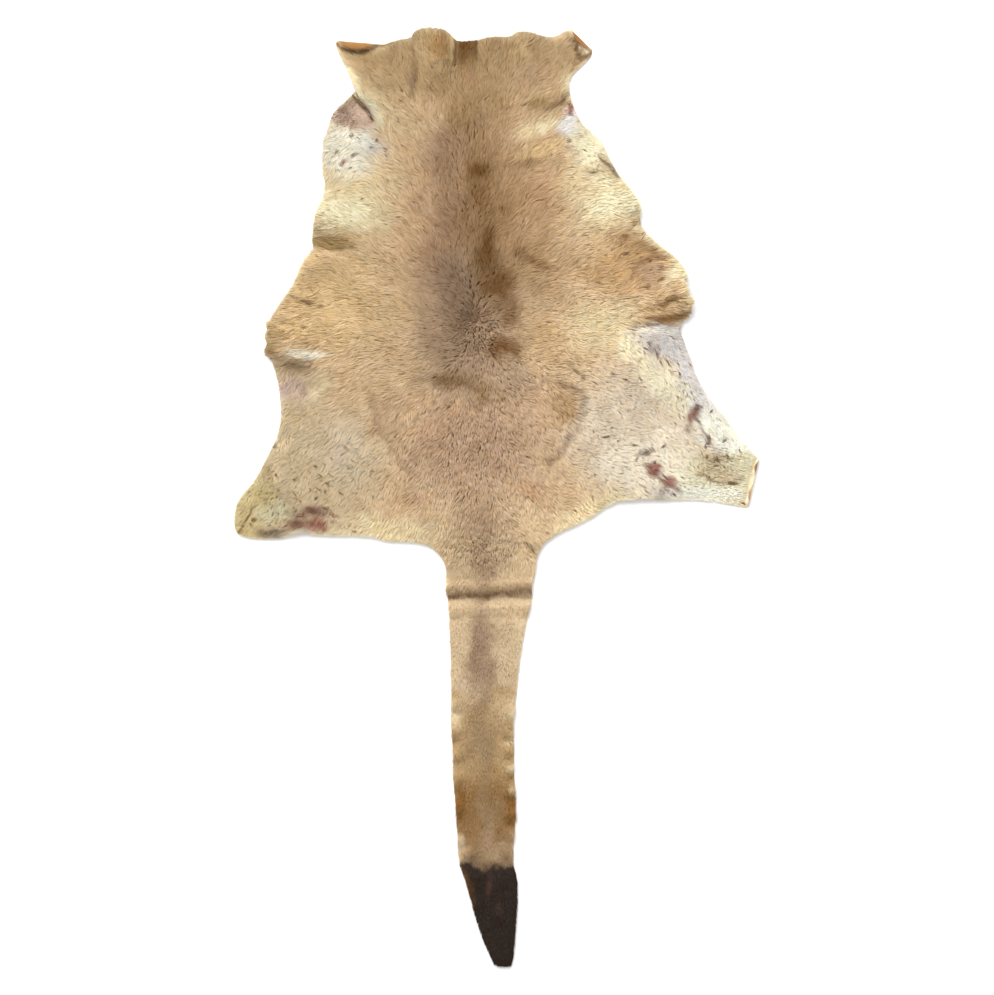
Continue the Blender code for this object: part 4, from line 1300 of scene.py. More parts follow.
FLECKS = [
    Flecks("left foreleg, rim", 331, 156, 10, 28, 14, 235, 8, "fleck brown"),
    Flecks("left foreleg, inside", 366, 143, 24, 15, 10, 215, 8, "fleck grey"),
    Flecks("left foreleg, low", 345, 168, 14, 12, 6, 235, 7, "fleck brown"),
    Flecks("left chest", 340, 205, 34, 24, 8, 200, 6, "fleck brown"),
    Flecks("right armpit", 572, 138, 8, 24, 6, -60, 7, "fleck grey"),
    Flecks("right foreleg, rim", 606, 162, 8, 14, 5, -50, 8, "fleck brown"),
    Flecks("right foreleg, low", 598, 172, 14, 4, 3, -10, 8, "fleck brown"),
    Flecks("neck, left", 385, 85, 34, 38, 22, 128, 9, "brown"),
    Flecks("neck, right", 545, 75, 34, 34, 18, 50, 8, "brown"),
    Flecks("shoulders, left", 430, 150, 45, 40, 18, 130, 11, "grey brown"),
    Flecks("chest, left", 400, 215, 60, 45, 22, 150, 11, "brown"),
    Flecks("chest, right", 560, 205, 45, 35, 18, 28, 10, "brown"),
    Flecks("left flank", 350, 290, 70, 50, 60, 172, 13, "brown"),
    Flecks("left flank, dark", 318, 298, 30, 14, 14, 175, 10, "deep brown"),
    Flecks("left ridge", 300, 335, 34, 14, 18, 188, 12, "olive brown"),
    Flecks("right flank", 620, 255, 55, 34, 56, 22, 11, "brown"),
    Flecks("right flank, dark", 640, 245, 34, 22, 26, 25, 9, "deep brown"),
    Flecks("right flank, low", 615, 295, 50, 22, 30, 5, 13, "golden brown"),
    Flecks("right ridge", 660, 310, 30, 10, 22, -4, 12, "deep brown"),
    Flecks("loin", 480, 360, 70, 34, 40, 200, 9, "brown"),
    Flecks("rump", 490, 415, 34, 34, 30, -62, 8, "deep brown"),
    Flecks("rump, low", 470, 480, 70, 34, 40, 262, 7, "brown"),
    Flecks("left groin", 312, 376, 22, 14, 22, 232, 9, "fleck grey"),
    Flecks("left groin, top", 296, 364, 22, 5, 14, 200, 8, "fleck brown"),
    Flecks("right groin", 662, 352, 26, 16, 30, -60, 10, "dark mauve"),
    Flecks("right groin, low", 680, 378, 13, 26, 18, -60, 9, "dark mauve"),
    Flecks("right thigh, inner line", 585, 395, 20, 34, 14, -40, 8, "fleck brown"),
    Flecks("right thigh", 615, 440, 44, 28, 10, -14, 7, "fleck brown"),
    Flecks("right thigh, upper", 650, 410, 28, 28, 8, -45, 8, "golden brown"),
    Flecks("by the upper raw patch", 696, 428, 22, 34, 18, -58, 7, "dark mauve"),
    Flecks("by the lower raw patch", 652, 466, 24, 12, 16, -22, 7, "fleck brown"),
    Flecks("under the lower raw patch", 662, 490, 28, 9, 12, -30, 6, "dark mauve"),
    Flecks("right shin", 717, 462, 24, 10, 12, -34, 6, "fleck grey"),
    Flecks("right foot, low", 738, 500, 16, 4, 4, -20, 5, "fleck brown"),
    Flecks("right shin, rim", 716, 432, 12, 24, 14, -52, 6, "fleck brown"),
    Flecks("left thigh", 334, 468, 44, 38, 26, -48, 6, "fleck brown"),
    Flecks("left thigh, middle", 385, 440, 34, 40, 12, -48, 8, "brown"),
    Flecks("left thigh, rim", 271, 448, 7, 12, 10, 235, 6, "fleck brown"),
    Flecks("left shin, rim", 266, 473, 9, 9, 8, 215, 6, "fleck grey"),
    Flecks("left foot", 248, 500, 16, 20, 6, 225, 8, "fleck brown"),
    Flecks("left foot, inside", 285, 505, 22, 14, 6, -60, 7, "fleck brown"),
    Flecks("round the left raw patch", 312, 514, 30, 9, 18, -24, 6, "fleck brown"),
    Flecks("left of the raw patch", 292, 526, 16, 8, 10, -34, 6, "dark mauve"),
    Flecks("right of the raw patch", 344, 524, 18, 8, 8, -30, 6, "fleck grey"),
    Flecks("left rump, low", 272, 534, 14, 5, 8, 190, 5, "fleck grey"),
    Flecks("rump edge, left", 427, 541, 5, 2, 3, 20, 5, "fleck brown"),
    Flecks("upper tail", 480, 640, 16, 46, 26, 270, 6, "grey brown"),
    Flecks("upper tail, left", 455, 630, 10, 40, 8, 190, 5, "rosy brown"),
    Flecks("lower tail, right rim", 512, 765, 6, 45, 14, 350, 6, "brown"),
    Flecks("dark tip", 498, 900, 14, 34, 16, 270, 8, "dark red brown"),
]
print(sum(row.count for row in FLECKS), "flecks")

# %% [markdown]
# Some dark tufts are large enough to be known by their place, round the raw patches and on the legs.
# They get a row each, with the heading, length and width as they look in the photograph.

# %% Lay out the larger dark tufts
Tuft = namedtuple("Tuft", "name x y heading length width tone")

DARK_TUFTS = [
    Tuft("left foreleg, rim", 331, 130, 60, 9, 3, "fleck brown"),
    Tuft("left foreleg, rim", 333, 137, 35, 8, 2, "fleck brown"),
    Tuft("left foreleg, rim", 335, 152, 60, 10, 2.5, "fleck brown"),
    Tuft("left foreleg, rim", 328, 162, 58, 11, 2, "fleck brown"),
    Tuft("left foreleg, rim", 325, 178, 62, 10, 2, "fleck brown"),
    Tuft("left foreleg", 351, 135, -50, 8, 4, "dark mauve"),
    Tuft("left foreleg", 357, 139, -45, 8, 4, "fleck brown"),
    Tuft("left foreleg", 376, 140, 5, 6, 3, "fleck brown"),
    Tuft("left foreleg", 385, 149, -40, 8, 3, "fleck brown"),
    Tuft("left foreleg", 371, 147, 10, 7, 1.5, "fleck grey"),
    Tuft("left foreleg", 353, 155, 28, 12, 3.5, "dark mauve"),
    Tuft("left foreleg", 342, 163, 60, 13, 3.5, "raw brown"),
    Tuft("left foreleg", 338, 171, 70, 8, 2.5, "dark mauve"),
    Tuft("left foreleg", 349, 168, 20, 9, 1.5, "fleck grey"),
    Tuft("right armpit", 576, 122, -80, 9, 3.5, "fleck grey"),
    Tuft("right armpit", 579, 131, -70, 6, 2, "fleck grey"),
    Tuft("right armpit", 568, 139, -35, 9, 3, "fleck grey"),
    Tuft("right armpit", 571, 146, -65, 8, 2, "dusty mauve"),
    Tuft("right foreleg", 604, 155, -40, 8, 4, "fleck brown"),
    Tuft("right foreleg", 609, 162, -52, 9, 2, "fleck brown"),
    Tuft("right foreleg", 612, 169, -40, 10, 4, "fleck brown"),
    Tuft("right foreleg", 616, 175, -32, 9, 2.5, "fleck brown"),
    Tuft("right foreleg", 593, 172, 3, 14, 2.2, "fleck brown"),
    Tuft("right flank", 634, 223, 40, 8, 4, "brown"),
    Tuft("right flank", 626, 254, 5, 12, 3.5, "fleck brown"),
    Tuft("right flank", 651, 247, -20, 11, 3, "brown"),
    Tuft("right flank", 625, 236, 25, 11, 2.5, "brown"),
    Tuft("rosy spot", 661, 281, 28, 12, 2.5, "brown"),
    Tuft("rosy spot", 669, 287, 28, 10, 2, "brown"),
    Tuft("rosy spot", 648, 288, 15, 10, 2.5, "brown"),
    Tuft("rosy spot", 660, 268, 30, 10, 1.5, "brown"),
    Tuft("right groin", 649, 343, -72, 8, 3, "dark mauve"),
    Tuft("right groin", 657, 353, -72, 15, 2.5, "dark mauve"),
    Tuft("right groin", 662, 364, -66, 13, 1.6, "dark mauve"),
    Tuft("right groin", 668, 362, -60, 12, 2, "dark mauve"),
    Tuft("right groin", 671, 372, -60, 13, 2.2, "dark mauve"),
    Tuft("right groin", 680, 375, -75, 11, 1.8, "dark mauve"),
    Tuft("right groin", 678, 363, -65, 11, 1.5, "dark mauve"),
    Tuft("right groin", 683, 355, -75, 10, 2.8, "dark mauve"),
    Tuft("right groin", 679, 347, -50, 9, 1.5, "dark mauve"),
    Tuft("right groin", 690, 364, -50, 9, 1.5, "dark mauve"),
    Tuft("right groin", 645, 348, -25, 10, 1.5, "dark mauve"),
    Tuft("right thigh, rim", 699, 383, -65, 9, 2, "dark mauve"),
    Tuft("right thigh, rim", 691, 392, -55, 9, 1.5, "fleck brown"),
    Tuft("right thigh", 677, 396, -50, 9, 1.6, "fleck brown"),
    Tuft("right thigh", 640, 378, -60, 10, 2, "fleck brown"),
    Tuft("right thigh", 613, 374, -8, 11, 2, "fleck brown"),
    Tuft("right thigh", 625, 379, -28, 13, 1.8, "fleck brown"),
    Tuft("right thigh", 605, 437, 12, 15, 2.2, "fleck brown"),
    Tuft("right thigh", 618, 441, 20, 8, 1.5, "fleck brown"),
    Tuft("right thigh", 634, 445, -5, 11, 2, "fleck brown"),
    Tuft("right thigh", 663, 447, 50, 11, 2.5, "dark mauve"),
    Tuft("right thigh", 646, 454, 30, 12, 4, "fleck brown"),
    Tuft("right thigh", 637, 459, 58, 8, 1.5, "fleck brown"),
    Tuft("upper raw patch, top", 697, 407, -30, 9, 5.5, "dark mauve"),
    Tuft("upper raw patch, foot", 689, 429, 245, 10, 3, "raw brown"),
    Tuft("upper raw patch, line", 702, 426, -65, 18, 1.6, "fleck brown"),
    Tuft("under the upper raw patch", 709, 437, -85, 12, 3.5, "dark mauve"),
    Tuft("under the upper raw patch", 706, 446, 258, 10, 2.5, "dark mauve"),
    Tuft("right shin", 724, 441, 35, 10, 2, "dark mauve"),
    Tuft("right shin", 712, 411, 45, 8, 1.5, "fleck grey"),
    Tuft("right shin", 740, 451, -65, 9, 1.8, "dark mauve"),
    Tuft("right shin", 707, 456, 262, 10, 2.5, "fleck brown"),
    Tuft("right shin", 716, 459, -30, 12, 3, "fleck brown"),
    Tuft("right shin", 727, 456, -60, 9, 3, "fleck brown"),
    Tuft("right shin", 716, 465, -8, 9, 2, "fleck brown"),
    Tuft("right foot, fold", 731, 483, -5, 18, 3, "fleck brown"),
    Tuft("right foot, low", 744, 503, -28, 9, 2, "fleck brown"),
    Tuft("between the raw patches", 664, 476, -42, 15, 2, "dark mauve"),
    Tuft("lower raw patch, top", 655, 463, 70, 8, 2, "dark mauve"),
    Tuft("under the lower raw patch", 666, 492, 20, 12, 3, "dark mauve"),
    Tuft("under the lower raw patch", 673, 494, -35, 12, 2, "dark mauve"),
    Tuft("under the lower raw patch", 655, 498, 22, 11, 2.2, "dark mauve"),
    Tuft("left of the lower raw patch", 640, 478, -25, 13, 1.5, "fleck grey"),
    Tuft("left of the lower raw patch", 642, 486, -30, 13, 1.5, "fleck grey"),
    Tuft("left of the lower raw patch", 646, 492, -36, 11, 1.5, "fleck grey"),
    Tuft("left thigh, rim", 275, 446, 68, 9, 3.2, "dark mauve"),
    Tuft("left thigh", 286, 442, 80, 11, 1.4, "fleck brown"),
    Tuft("left thigh", 289, 454, -78, 12, 1.4, "fleck brown"),
    Tuft("left shin", 267, 467, -62, 10, 3, "fleck brown"),
    Tuft("left shin", 276, 475, -45, 9, 1.8, "fleck brown"),
    Tuft("left shin", 268, 479, 5, 8, 3.5, "fleck brown"),
    Tuft("left thigh", 294, 480, -20, 6, 2.5, "fleck brown"),
    Tuft("left thigh", 294, 493, -60, 13, 1.4, "fleck brown"),
    Tuft("left thigh", 300, 501, -65, 9, 1.5, "fleck brown"),
    Tuft("left thigh", 315, 466, -30, 8, 1.8, "fleck brown"),
    Tuft("left thigh", 323, 463, -42, 9, 1.6, "fleck brown"),
    Tuft("left thigh", 331, 458, -55, 7, 1.6, "fleck brown"),
    Tuft("left thigh", 320, 475, -38, 9, 1.6, "fleck brown"),
    Tuft("left thigh", 329, 474, -36, 10, 1.6, "fleck brown"),
    Tuft("left thigh", 326, 483, -40, 9, 1.8, "fleck brown"),
    Tuft("left thigh", 318, 489, -38, 10, 1.8, "fleck brown"),
    Tuft("left thigh", 325, 491, -90, 7, 3, "fleck brown"),
    Tuft("left thigh", 310, 489, -80, 6, 2, "fleck brown"),
    Tuft("left thigh", 340, 493, -30, 10, 1.3, "fleck brown"),
    Tuft("left thigh", 345, 447, -42, 10, 2.4, "fleck brown"),
    Tuft("left thigh", 353, 461, -18, 10, 1.8, "fleck brown"),
    Tuft("left foot", 248, 493, 30, 8, 2.2, "fleck brown"),
    Tuft("left foot", 237, 506, 18, 6, 2.2, "fleck brown"),
    Tuft("left foot, spot", 253, 520, 35, 8, 4, "deep brown"),
    Tuft("left foot, spot", 250, 524, -60, 6, 1.8, "fleck brown"),
    Tuft("left foot, middle", 266, 500, 60, 8, 1.3, "fleck grey"),
    Tuft("left foot, middle", 284, 504, -82, 8, 1.8, "fleck brown"),
    Tuft("left foot, middle", 287, 511, -52, 7, 1.6, "fleck grey"),
    Tuft("over the left raw patch", 309, 510, -12, 15, 5.5, "raw brown"),
    Tuft("over the left raw patch", 301, 516, 5, 12, 4, "raw brown"),
    Tuft("over the left raw patch", 315, 499, 35, 10, 2, "fleck brown"),
    Tuft("over the left raw patch", 324, 508, -10, 11, 2.4, "fleck brown"),
    Tuft("right of the left raw patch", 332, 514, -42, 10, 3.5, "raw brown"),
    Tuft("right of the left raw patch", 332, 521, -80, 8, 3.5, "raw brown"),
    Tuft("left of the left raw patch", 298, 526, 18, 15, 6, "raw brown"),
    Tuft("left of the left raw patch", 286, 527, 15, 12, 3, "dark mauve"),
    Tuft("right of the left raw patch", 347, 525, 30, 10, 3, "dusty mauve"),
    Tuft("right of the left raw patch", 353, 531, -20, 12, 1.8, "fleck brown"),
    Tuft("left rump, low", 266, 533, 20, 10, 3, "fleck dark"),
    Tuft("left rump, low", 267, 538, 0, 9, 2, "fleck dark"),
    Tuft("left rump, low", 282, 533, 65, 9, 3, "fleck dark"),
    Tuft("left rump, low", 279, 538, 3, 9, 2.5, "fleck dark"),
]
print(len(DARK_TUFTS), "larger dark tufts")

# %% Grow the flecks
FLECK_BLADES = 8
TUFT_BLADES = 0.75
TUFT_WIDEN = 1.3
FLECK_WIDTH = 1.5 * MM
FLECK_HAIR = 0.75 * MM
FLECK_STRENGTH = (0.35, 1.0)
FLECK_TURN = 0.3
FLECK_LENGTHS = (0.6, 1.25)
FLECK_WIDTHS = (0.5, 1.15)
FLECK_START = 0.45
ROOTS_ALONG = (-0.1, 0.35)
BLADE_LENGTHS = (0.45, 0.85)
BLADE_LIFTS = (0.85, 1.08)
BLADE_WIDTHS = (0.6, 1.1)
BLADE_TONES = (0.85, 1.15)
GATHERED = 0.3
ABOVE_ALL = 0.1


def fleck_roots(rng):
    """Where each fleck starts, its heading, its length and its tone."""
    rows = [row for row in FLECKS for _ in range(row.count)]
    middles = np.array([[row.x, row.y] for row in rows], float)
    sizes = np.array([[row.across, row.along] for row in rows], float)
    far = np.sqrt(rng.random(len(rows)))[:, None]
    places = middles + sizes * far * flat(rng.uniform(0, math.tau, len(rows)))
    heading = np.radians([row.heading for row in rows]) + rng.normal(0, FLECK_TURN, len(rows))
    length = np.array([row.length for row in rows]) * PIXEL
    length = length * rng.uniform(*FLECK_LENGTHS, len(rows))
    width = FLECK_WIDTH * rng.uniform(*FLECK_WIDTHS, len(rows))
    places = on_hide(places)
    coat = coat_colour(places)
    strength = rng.uniform(*FLECK_STRENGTH, len(rows))[:, None]
    colour = coat + (np.array([HUES[row.tone] for row in rows]) - coat) * strength
    return places, heading, length, width, colour, np.full(len(rows), FLECK_BLADES)


def tuft_roots():
    """The same for the larger dark tufts, which stand where their rows say."""
    places = on_hide([[row.x, row.y] for row in DARK_TUFTS])
    heading = np.radians([row.heading for row in DARK_TUFTS])
    length = np.array([row.length for row in DARK_TUFTS]) * PIXEL
    width = np.array([row.width for row in DARK_TUFTS]) * PIXEL * TUFT_WIDEN
    colour = np.array([HUES[row.tone] for row in DARK_TUFTS])
    blade_count = (TUFT_BLADES * length * width / PIXEL ** 2).astype(int) + FLECK_BLADES
    return places, heading, length, width, colour, blade_count


def grow_flecks(name, seed):
    """All the dark flecks, as one piece."""
    rng = np.random.default_rng(seed)
    parts = [np.concatenate(both) for both in zip(fleck_roots(rng), tuft_roots())]
    kept = over_hide(parts[0])
    middle, heading, length, width, colour, blade_count = [part[kept] for part in parts]
    start = middle - flat(heading) * length[:, None] * FLECK_START
    start = np.where(over_hide(start)[:, None], start, middle)
    down = Vector((0, 0, -1))
    hits = [leather_tree.ray_cast(Vector((*spot, ABOVE_ALL)), down) for spot in start]
    found = np.array([hit[0] is not None and hit[1].z > FACES_UP for hit in hits])
    base = np.array([hit[0] if hit[0] is not None else (0, 0, 0) for hit in hits])
    up = np.array([hit[1] if hit[1] is not None else (0, 0, 1) for hit in hits])
    deep = np.array([depth_at(point, normal) for point, normal in zip(base, up)])
    many = np.repeat(np.flatnonzero(found), blade_count[found])
    across = rng.uniform(-0.5, 0.5, len(many)) * width[many]
    back = rng.uniform(*ROOTS_ALONG, len(many)) * length[many]
    ahead = flat(heading[many])
    shift = np.stack([-ahead[:, 1], ahead[:, 0]], axis=1) * across[:, None] + ahead * back[:, None]
    root = base[many] + np.column_stack([shift, np.zeros(len(many))]) + up[many] * HAIR_ROOT
    own = length[many] * rng.uniform(*BLADE_LENGTHS, len(many))
    tip_move = ahead * own[:, None] - shift * GATHERED
    tip_move *= free_share(root[:, :2], root[:, :2] + tip_move)[:, None]
    lift = np.maximum(deep[many] * rng.uniform(*BLADE_LIFTS, len(many)), LEAST_LIFT)
    wide = FLECK_HAIR * rng.uniform(*BLADE_WIDTHS, len(many))
    shape = blades(root, up[many], tip_move * KNEE, tip_move, lift, wide, rng)
    colour = np.clip(colour[many] * rng.uniform(*BLADE_TONES, (len(many), 1)), 0, 1)
    return hair_piece(name, shape, colour, colour, np.zeros(len(many)))


leather_tree = BVHTree.FromPolygons([Vector(point) for point in points], triangles.tolist())
hair_pieces.append(grow_flecks("hair_flecks", 201))
print("hair_flecks", len(hair_pieces[-1].data.vertices) // BLADE_POINTS, "blades")

# %% [markdown]
# ## Skin and suede
#
# The leather now gets its thickness, upwards from the suede, and two finishes. The suede of the flesh
# side is matt and brushed, tan with darker and redder clouds. The skin under the hair is mostly in the
# shade of the coat, so it takes the coat's own tone, darkened where hair covers it and full where the
# skin is bare, at the armpits and the raw patches.

# %% Thicken the leather and tint its skin
COVERED_SHADE = 0.62
BARE_DEPTH = 3 * MM
SLEEK_SHOWN = 0.7

# Where the edge curls over, the suede shows from above, and there its own tones matter; the lower edge
# of the left corner's suede gets painted shade.
SUEDE_MARKS = [
    Brush("right foot's strip", 753, 484, 14, 36, 0, 0.4, "rim cream", 0.9),
    Brush("right foot's strip, top", 757, 468, 4, 8, 0, 0.8, "suede", 1.0),
    Brush("right foot's strip, low", 750, 496, 6, 11, 10, 0.8, "golden tan", 0.9),
    # painted shade on the lower edge of the rolled left corner's suede
    Brush("left neck corner, lower edge", 354, 52, 22, 5, -4, 0.9, "deep brown", 0.6),
]

tint = coat_colour(points[:, :2])
shown = np.maximum(soft(1 - depth / BARE_DEPTH), SLEEK_SHOWN * sleekness(points[:, :2]))
tint *= (COVERED_SHADE + (1 - COVERED_SHADE) * shown)[:, None]
paint(leather.data, "skin", tint)
in_suede = in_photo(points[:, :2])
suede_tint = brushed(np.tile(HUES["suede"], (len(points), 1)), SUEDE_MARKS, in_suede, in_suede)
paint(leather.data, "flesh", suede_tint)
thickened = leather.modifiers.new("thickened", "SOLIDIFY")
thickened.thickness = LEATHER_THICKNESS
thickened.offset = 1
thickened.material_offset = 1
leather.data.materials.append(bpy.data.materials.new("skin under the hair"))
leather.data.materials.append(bpy.data.materials.new("suede"))
leather.data = applied(leather, "leather")
leather.data.shade_smooth()
leather.data.calc_loop_triangles()
print("leather:", len(leather.data.loop_triangles), "triangles")

# %% Gather the helpers for finishes
USUAL_CLOUDS = (0.3, 0.7)
WHITE = (1, 1, 1)


def shader_of(material):
    """The node tree of a material and its shader."""
    material.use_nodes = True
    return material.node_tree, material.node_tree.nodes["Principled BSDF"]


def node(tree, kind, **inputs):
    """A new node with some of its inputs set."""
    made = tree.nodes.new(kind)
    for name, value in inputs.items():
        made.inputs[name].default_value = value
    return made


def noise_node(tree, size, detail=2.0):
    """A cloudy texture in the object's own space, whose clouds are about size metres across."""
    place = node(tree, "ShaderNodeTexCoord")
    clouds = node(tree, "ShaderNodeTexNoise", Scale=1 / size, Detail=detail)
    tree.links.new(place.outputs["Object"], clouds.inputs["Vector"])
    return clouds


def between(tree, source, least, most):
    """A number that runs between two limits as the source runs over its usual values."""
    low, high = USUAL_CLOUDS
    limits = {"From Min": low, "From Max": high, "To Min": least, "To Max": most}
    ranged = node(tree, "ShaderNodeMapRange", **limits)
    tree.links.new(source, ranged.inputs["Value"])
    return ranged.outputs["Result"]


def colour_socket(sockets, name):
    """The colour socket of this name, among a mixing node's sockets for numbers and colours."""
    return next(socket for socket in sockets if socket.name == name and socket.type == "RGBA")


def blend_colours(tree, share, first, second, way="MIX"):
    """A colour mixed from two, each a fixed colour or another node's output."""
    mix = tree.nodes.new("ShaderNodeMix")
    mix.data_type = "RGBA"
    mix.blend_type = way
    ends = [colour_socket(mix.inputs, "A"), colour_socket(mix.inputs, "B")]
    for socket, value in zip([mix.inputs["Factor"], *ends], [share, first, second]):
        if isinstance(value, bpy.types.NodeSocket):
            tree.links.new(value, socket)
        elif isinstance(value, float):
            socket.default_value = value
        else:
            socket.default_value = (*value, 1)
    return colour_socket(mix.outputs, "Result")


def tinged(tree, colour, share, first, second):
    """A colour multiplied by a tinge that runs from one to another as the share does."""
    tinge = blend_colours(tree, share, first, second)
    return blend_colours(tree, 1.0, colour, tinge, "MULTIPLY")


def painted(tree, name):
    """The node that looks up what was painted on the points under a name."""
    lookup = tree.nodes.new("ShaderNodeAttribute")
    lookup.attribute_name = name
    return lookup


def emboss(tree, shader, height, strength, distance):
    """Gives a shader a fine relief."""
    bump = node(tree, "ShaderNodeBump", Strength=strength, Distance=distance)
    tree.links.new(height, bump.inputs["Height"])
    tree.links.new(bump.outputs["Normal"], shader.inputs["Normal"])


print("clouds run from", *USUAL_CLOUDS)

# %% Make the suede
SUEDE_WARM = (0.88, 0.74, 0.58)
SUEDE_STAIN = (0.45, 0.36, 0.34)
SUEDE_CLOUD = 35 * MM
SUEDE_SPOT = 12 * MM
NAP = 1.2 * MM


def finish_suede(material):
    """Matt, brushed flesh side of the leather."""
    tree, shader = shader_of(material)
    clouds = between(tree, noise_node(tree, SUEDE_CLOUD, 4.0).outputs["Fac"], 0.0, 1.0)
    stains = between(tree, noise_node(tree, SUEDE_SPOT, 3.0).outputs["Fac"], 0.0, 0.45)
    nap = noise_node(tree, NAP, 4.0).outputs["Fac"]
    colour = tinged(tree, painted(tree, "flesh").outputs["Color"], clouds, WHITE, SUEDE_WARM)
    colour = tinged(tree, colour, stains, WHITE, SUEDE_STAIN)
    tree.links.new(colour, shader.inputs["Base Color"])
    tree.links.new(between(tree, nap, 0.78, 0.95), shader.inputs["Roughness"])
    emboss(tree, shader, nap, 0.4, 0.4 * MM)
    shader.inputs["Specular IOR Level"].default_value = 0.25
    shader.inputs["Sheen Weight"].default_value = 0.1
    shader.inputs["Sheen Roughness"].default_value = 0.6


finish_suede(leather.data.materials[1])
print("suede:", len(leather.data.materials[1].node_tree.nodes), "nodes")

# %% Make the skin under the hair
SKIN_DARK = (0.72, 0.66, 0.64)
SKIN_LIGHT = (1.12, 1.1, 1.08)
BLOTCH = 8 * MM
PORE = 1.6 * MM


def finish_skin(material):
    """Tanned skin with its pores, tinted place by place."""
    tree, shader = shader_of(material)
    blotches = between(tree, noise_node(tree, BLOTCH, 5.0).outputs["Fac"], 0.0, 1.0)
    colour = tinged(tree, painted(tree, "skin").outputs["Color"], blotches, SKIN_DARK, SKIN_LIGHT)
    tree.links.new(colour, shader.inputs["Base Color"])
    place = node(tree, "ShaderNodeTexCoord")
    pores = node(tree, "ShaderNodeTexVoronoi", Scale=1 / PORE)
    tree.links.new(place.outputs["Object"], pores.inputs["Vector"])
    tree.links.new(between(tree, blotches, 0.55, 0.8), shader.inputs["Roughness"])
    emboss(tree, shader, pores.outputs["Distance"], 0.35, 0.3 * MM)
    shader.inputs["Specular IOR Level"].default_value = 0.3


finish_skin(leather.data.materials[0])
print("skin:", len(leather.data.materials[0].node_tree.nodes), "nodes")

# %% [markdown]
# ## Hair finish
#
# A hair is painted darkest and warmest at its foot, as painted shade for its neighbours' shade, and
# palest at its tip, as painted light for the light on the top of the coat. The shader takes the tone
# painted above, runs it from this painted shade to this painted light along each blade, and adds a
# slow cloudiness and a fine streakiness. Hair is smooth in itself, so its roughness is middling and
# uneven, with a soft sheen for the fine down between the longer hairs.

# %% Make the hair finish
# painted shade at the foot of each blade and painted light at its tip
FOOT_SHADE = (0.78, 0.72, 0.64)
MID_SHADE = (0.96, 0.945, 0.91)
PAINTED_TIP_LIGHT = (1.05, 1.065, 1.09)
CLOUD_TINGES = ((0.97, 0.965, 0.96), (1.03, 1.03, 1.025))
STREAK_TINGES = ((0.94, 0.93, 0.92), (1.05, 1.05, 1.05))
HAIR_CLOUD = 45 * MM
STREAK = 1.6 * MM


def finish_hair(material):
    """Hair with painted shade at its foot, painted light at its tip and uneven streaks."""
    tree, shader = shader_of(material)
    coat = painted(tree, "coat")
    ramp = tree.nodes.new("ShaderNodeValToRGB")
    tree.links.new(painted(tree, "along").outputs["Fac"], ramp.inputs["Fac"])
    ramp.color_ramp.elements[0].color = (*FOOT_SHADE, 1)
    ramp.color_ramp.elements[1].color = (*PAINTED_TIP_LIGHT, 1)
    middle = ramp.color_ramp.elements.new(0.5)
    middle.color = (*MID_SHADE, 1)
    colour = blend_colours(tree, 1.0, coat.outputs["Color"], ramp.outputs["Color"], "MULTIPLY")
    clouds = between(tree, noise_node(tree, HAIR_CLOUD, 3.0).outputs["Fac"], 0.0, 1.0)
    colour = tinged(tree, colour, clouds, *CLOUD_TINGES)
    streaks = noise_node(tree, STREAK, 2.0).outputs["Fac"]
    colour = tinged(tree, colour, between(tree, streaks, 0.0, 1.0), *STREAK_TINGES)
    tree.links.new(colour, shader.inputs["Base Color"])
    tree.links.new(between(tree, streaks, 0.5, 0.72), shader.inputs["Roughness"])
    shader.inputs["Specular IOR Level"].default_value = 0.2
    shader.inputs["Sheen Weight"].default_value = 0.05
    shader.inputs["Sheen Roughness"].default_value = 0.5


hair_finish = bpy.data.materials.new("kangaroo hair")
finish_hair(hair_finish)
for piece in hair_pieces:
    piece.data.materials.append(hair_finish)
print("hair finish:", len(hair_finish.node_tree.nodes), "nodes")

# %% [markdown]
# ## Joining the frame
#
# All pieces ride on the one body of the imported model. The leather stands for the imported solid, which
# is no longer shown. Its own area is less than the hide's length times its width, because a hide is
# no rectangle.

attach(leather, "root")
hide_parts("hide")
for piece in hair_pieces:
    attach(piece, "root")
print("tied", 1 + len(hair_pieces), "pieces to the frame")

# %% [markdown]
# ## Floor, light and camera
#
# The photograph is a cut-out on white, so the floor is plain and nearly white. One large soft light
# stands beyond the neck, a little to the left, which shades the folds on their tail side, and an even
# pale sky fills the rest. The camera looks straight down from four metres with a long lens, so that
# one pixel of its picture is 1.7 mm on the hide.

# %% Lay the floor
FLOOR_SIZE = 14
FLOOR_DROP = 0.2 * MM
FLOOR_CLOUD = 0.5
FLOOR_UNEVEN = 1.01
FLOOR_TONE = (0.88, 0.88, 0.885)
FLOOR_ROUGHNESS = 0.9


def plain(name, colour, roughness):
    """A plain material with a hint of unevenness."""
    material = bpy.data.materials.new(name)
    tree, shader = shader_of(material)
    shade = between(tree, noise_node(tree, FLOOR_CLOUD).outputs["Fac"], 0.0, 1.0)
    pale = [part * FLOOR_UNEVEN for part in colour]
    tree.links.new(blend_colours(tree, shade, colour, pale), shader.inputs["Base Color"])
    shader.inputs["Roughness"].default_value = roughness
    shader.inputs["Specular IOR Level"].default_value = 0.0
    return material


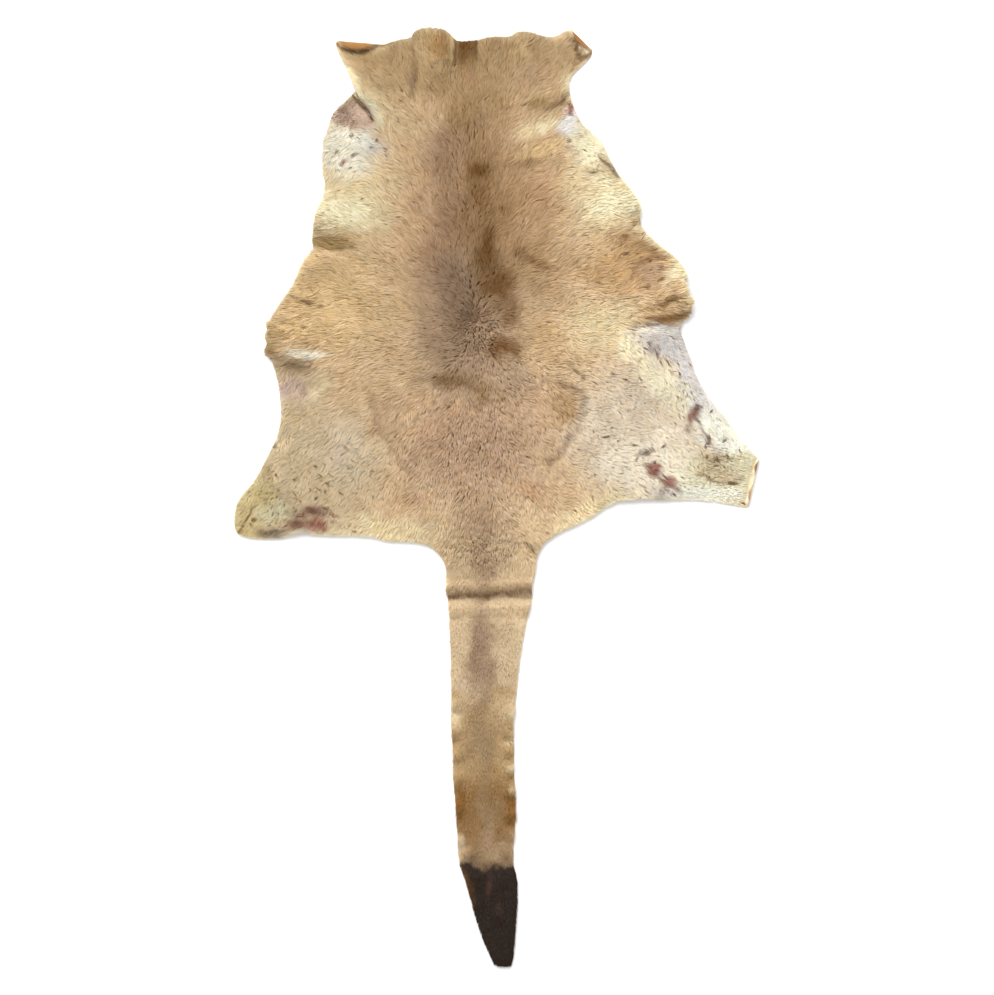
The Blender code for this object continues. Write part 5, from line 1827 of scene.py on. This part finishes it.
floor_mesh = bpy.data.meshes.new("floor")
reach = FLOOR_SIZE / 2
floor_corners = [(-reach, -reach, 0), (reach, -reach, 0), (reach, reach, 0), (-reach, reach, 0)]
floor_mesh.from_pydata(floor_corners, [], [(0, 1, 2, 3)])
floor = bpy.data.objects.new("floor", floor_mesh)
bpy.context.scene.collection.objects.link(floor)
floor.location.z = -FLOOR_DROP
floor_mesh.materials.append(plain("pale floor", FLOOR_TONE, FLOOR_ROUGHNESS))
print("floor:", FLOOR_SIZE, "m across")

# %% Set the light
KEY_PLACE = Vector((-1.3, 2.9, 3.0))
KEY_SIZE = 3.2
KEY_POWER = 240
SKY_STRENGTH = 0.90
SKY_TONE = (1.0, 0.99, 0.97, 1)


def soft_light(name, place, size, power):
    """A square area light that faces the hide."""
    lamp = bpy.data.lights.new(name, "AREA")
    lamp.shape = "SQUARE"
    lamp.size = size
    lamp.energy = power
    light = bpy.data.objects.new(name, lamp)
    light.location = place
    light.rotation_euler = (-place).to_track_quat("-Z", "Y").to_euler()
    bpy.context.scene.collection.objects.link(light)
    return light


soft_light("key beyond the neck", KEY_PLACE, KEY_SIZE, KEY_POWER)
sky = bpy.data.worlds.new("pale sky")
sky.use_nodes = True
background = sky.node_tree.nodes["Background"]
background.inputs["Color"].default_value = SKY_TONE
background.inputs["Strength"].default_value = SKY_STRENGTH
bpy.context.scene.world = sky
bpy.context.scene.view_settings.view_transform = "Standard"
print("key light of", KEY_POWER, "W")

# %% Place the camera
PICTURE_HEIGHT = 995
LENS = 85
SENSOR = 36
COAT_LEVEL = 12 * MM
PICTURE_MIDDLE = on_hide([497, 497.5])

eye = bpy.data.cameras.new("camera")
eye.sensor_width = SENSOR
eye.lens = LENS
camera = bpy.data.objects.new("camera", eye)
distance = PICTURE_HEIGHT * PIXEL * LENS / eye.sensor_width
camera.location = (*PICTURE_MIDDLE, COAT_LEVEL + distance)
bpy.context.scene.collection.objects.link(camera)
bpy.context.scene.camera = camera
print("camera", round(distance, 3), "m above the coat")
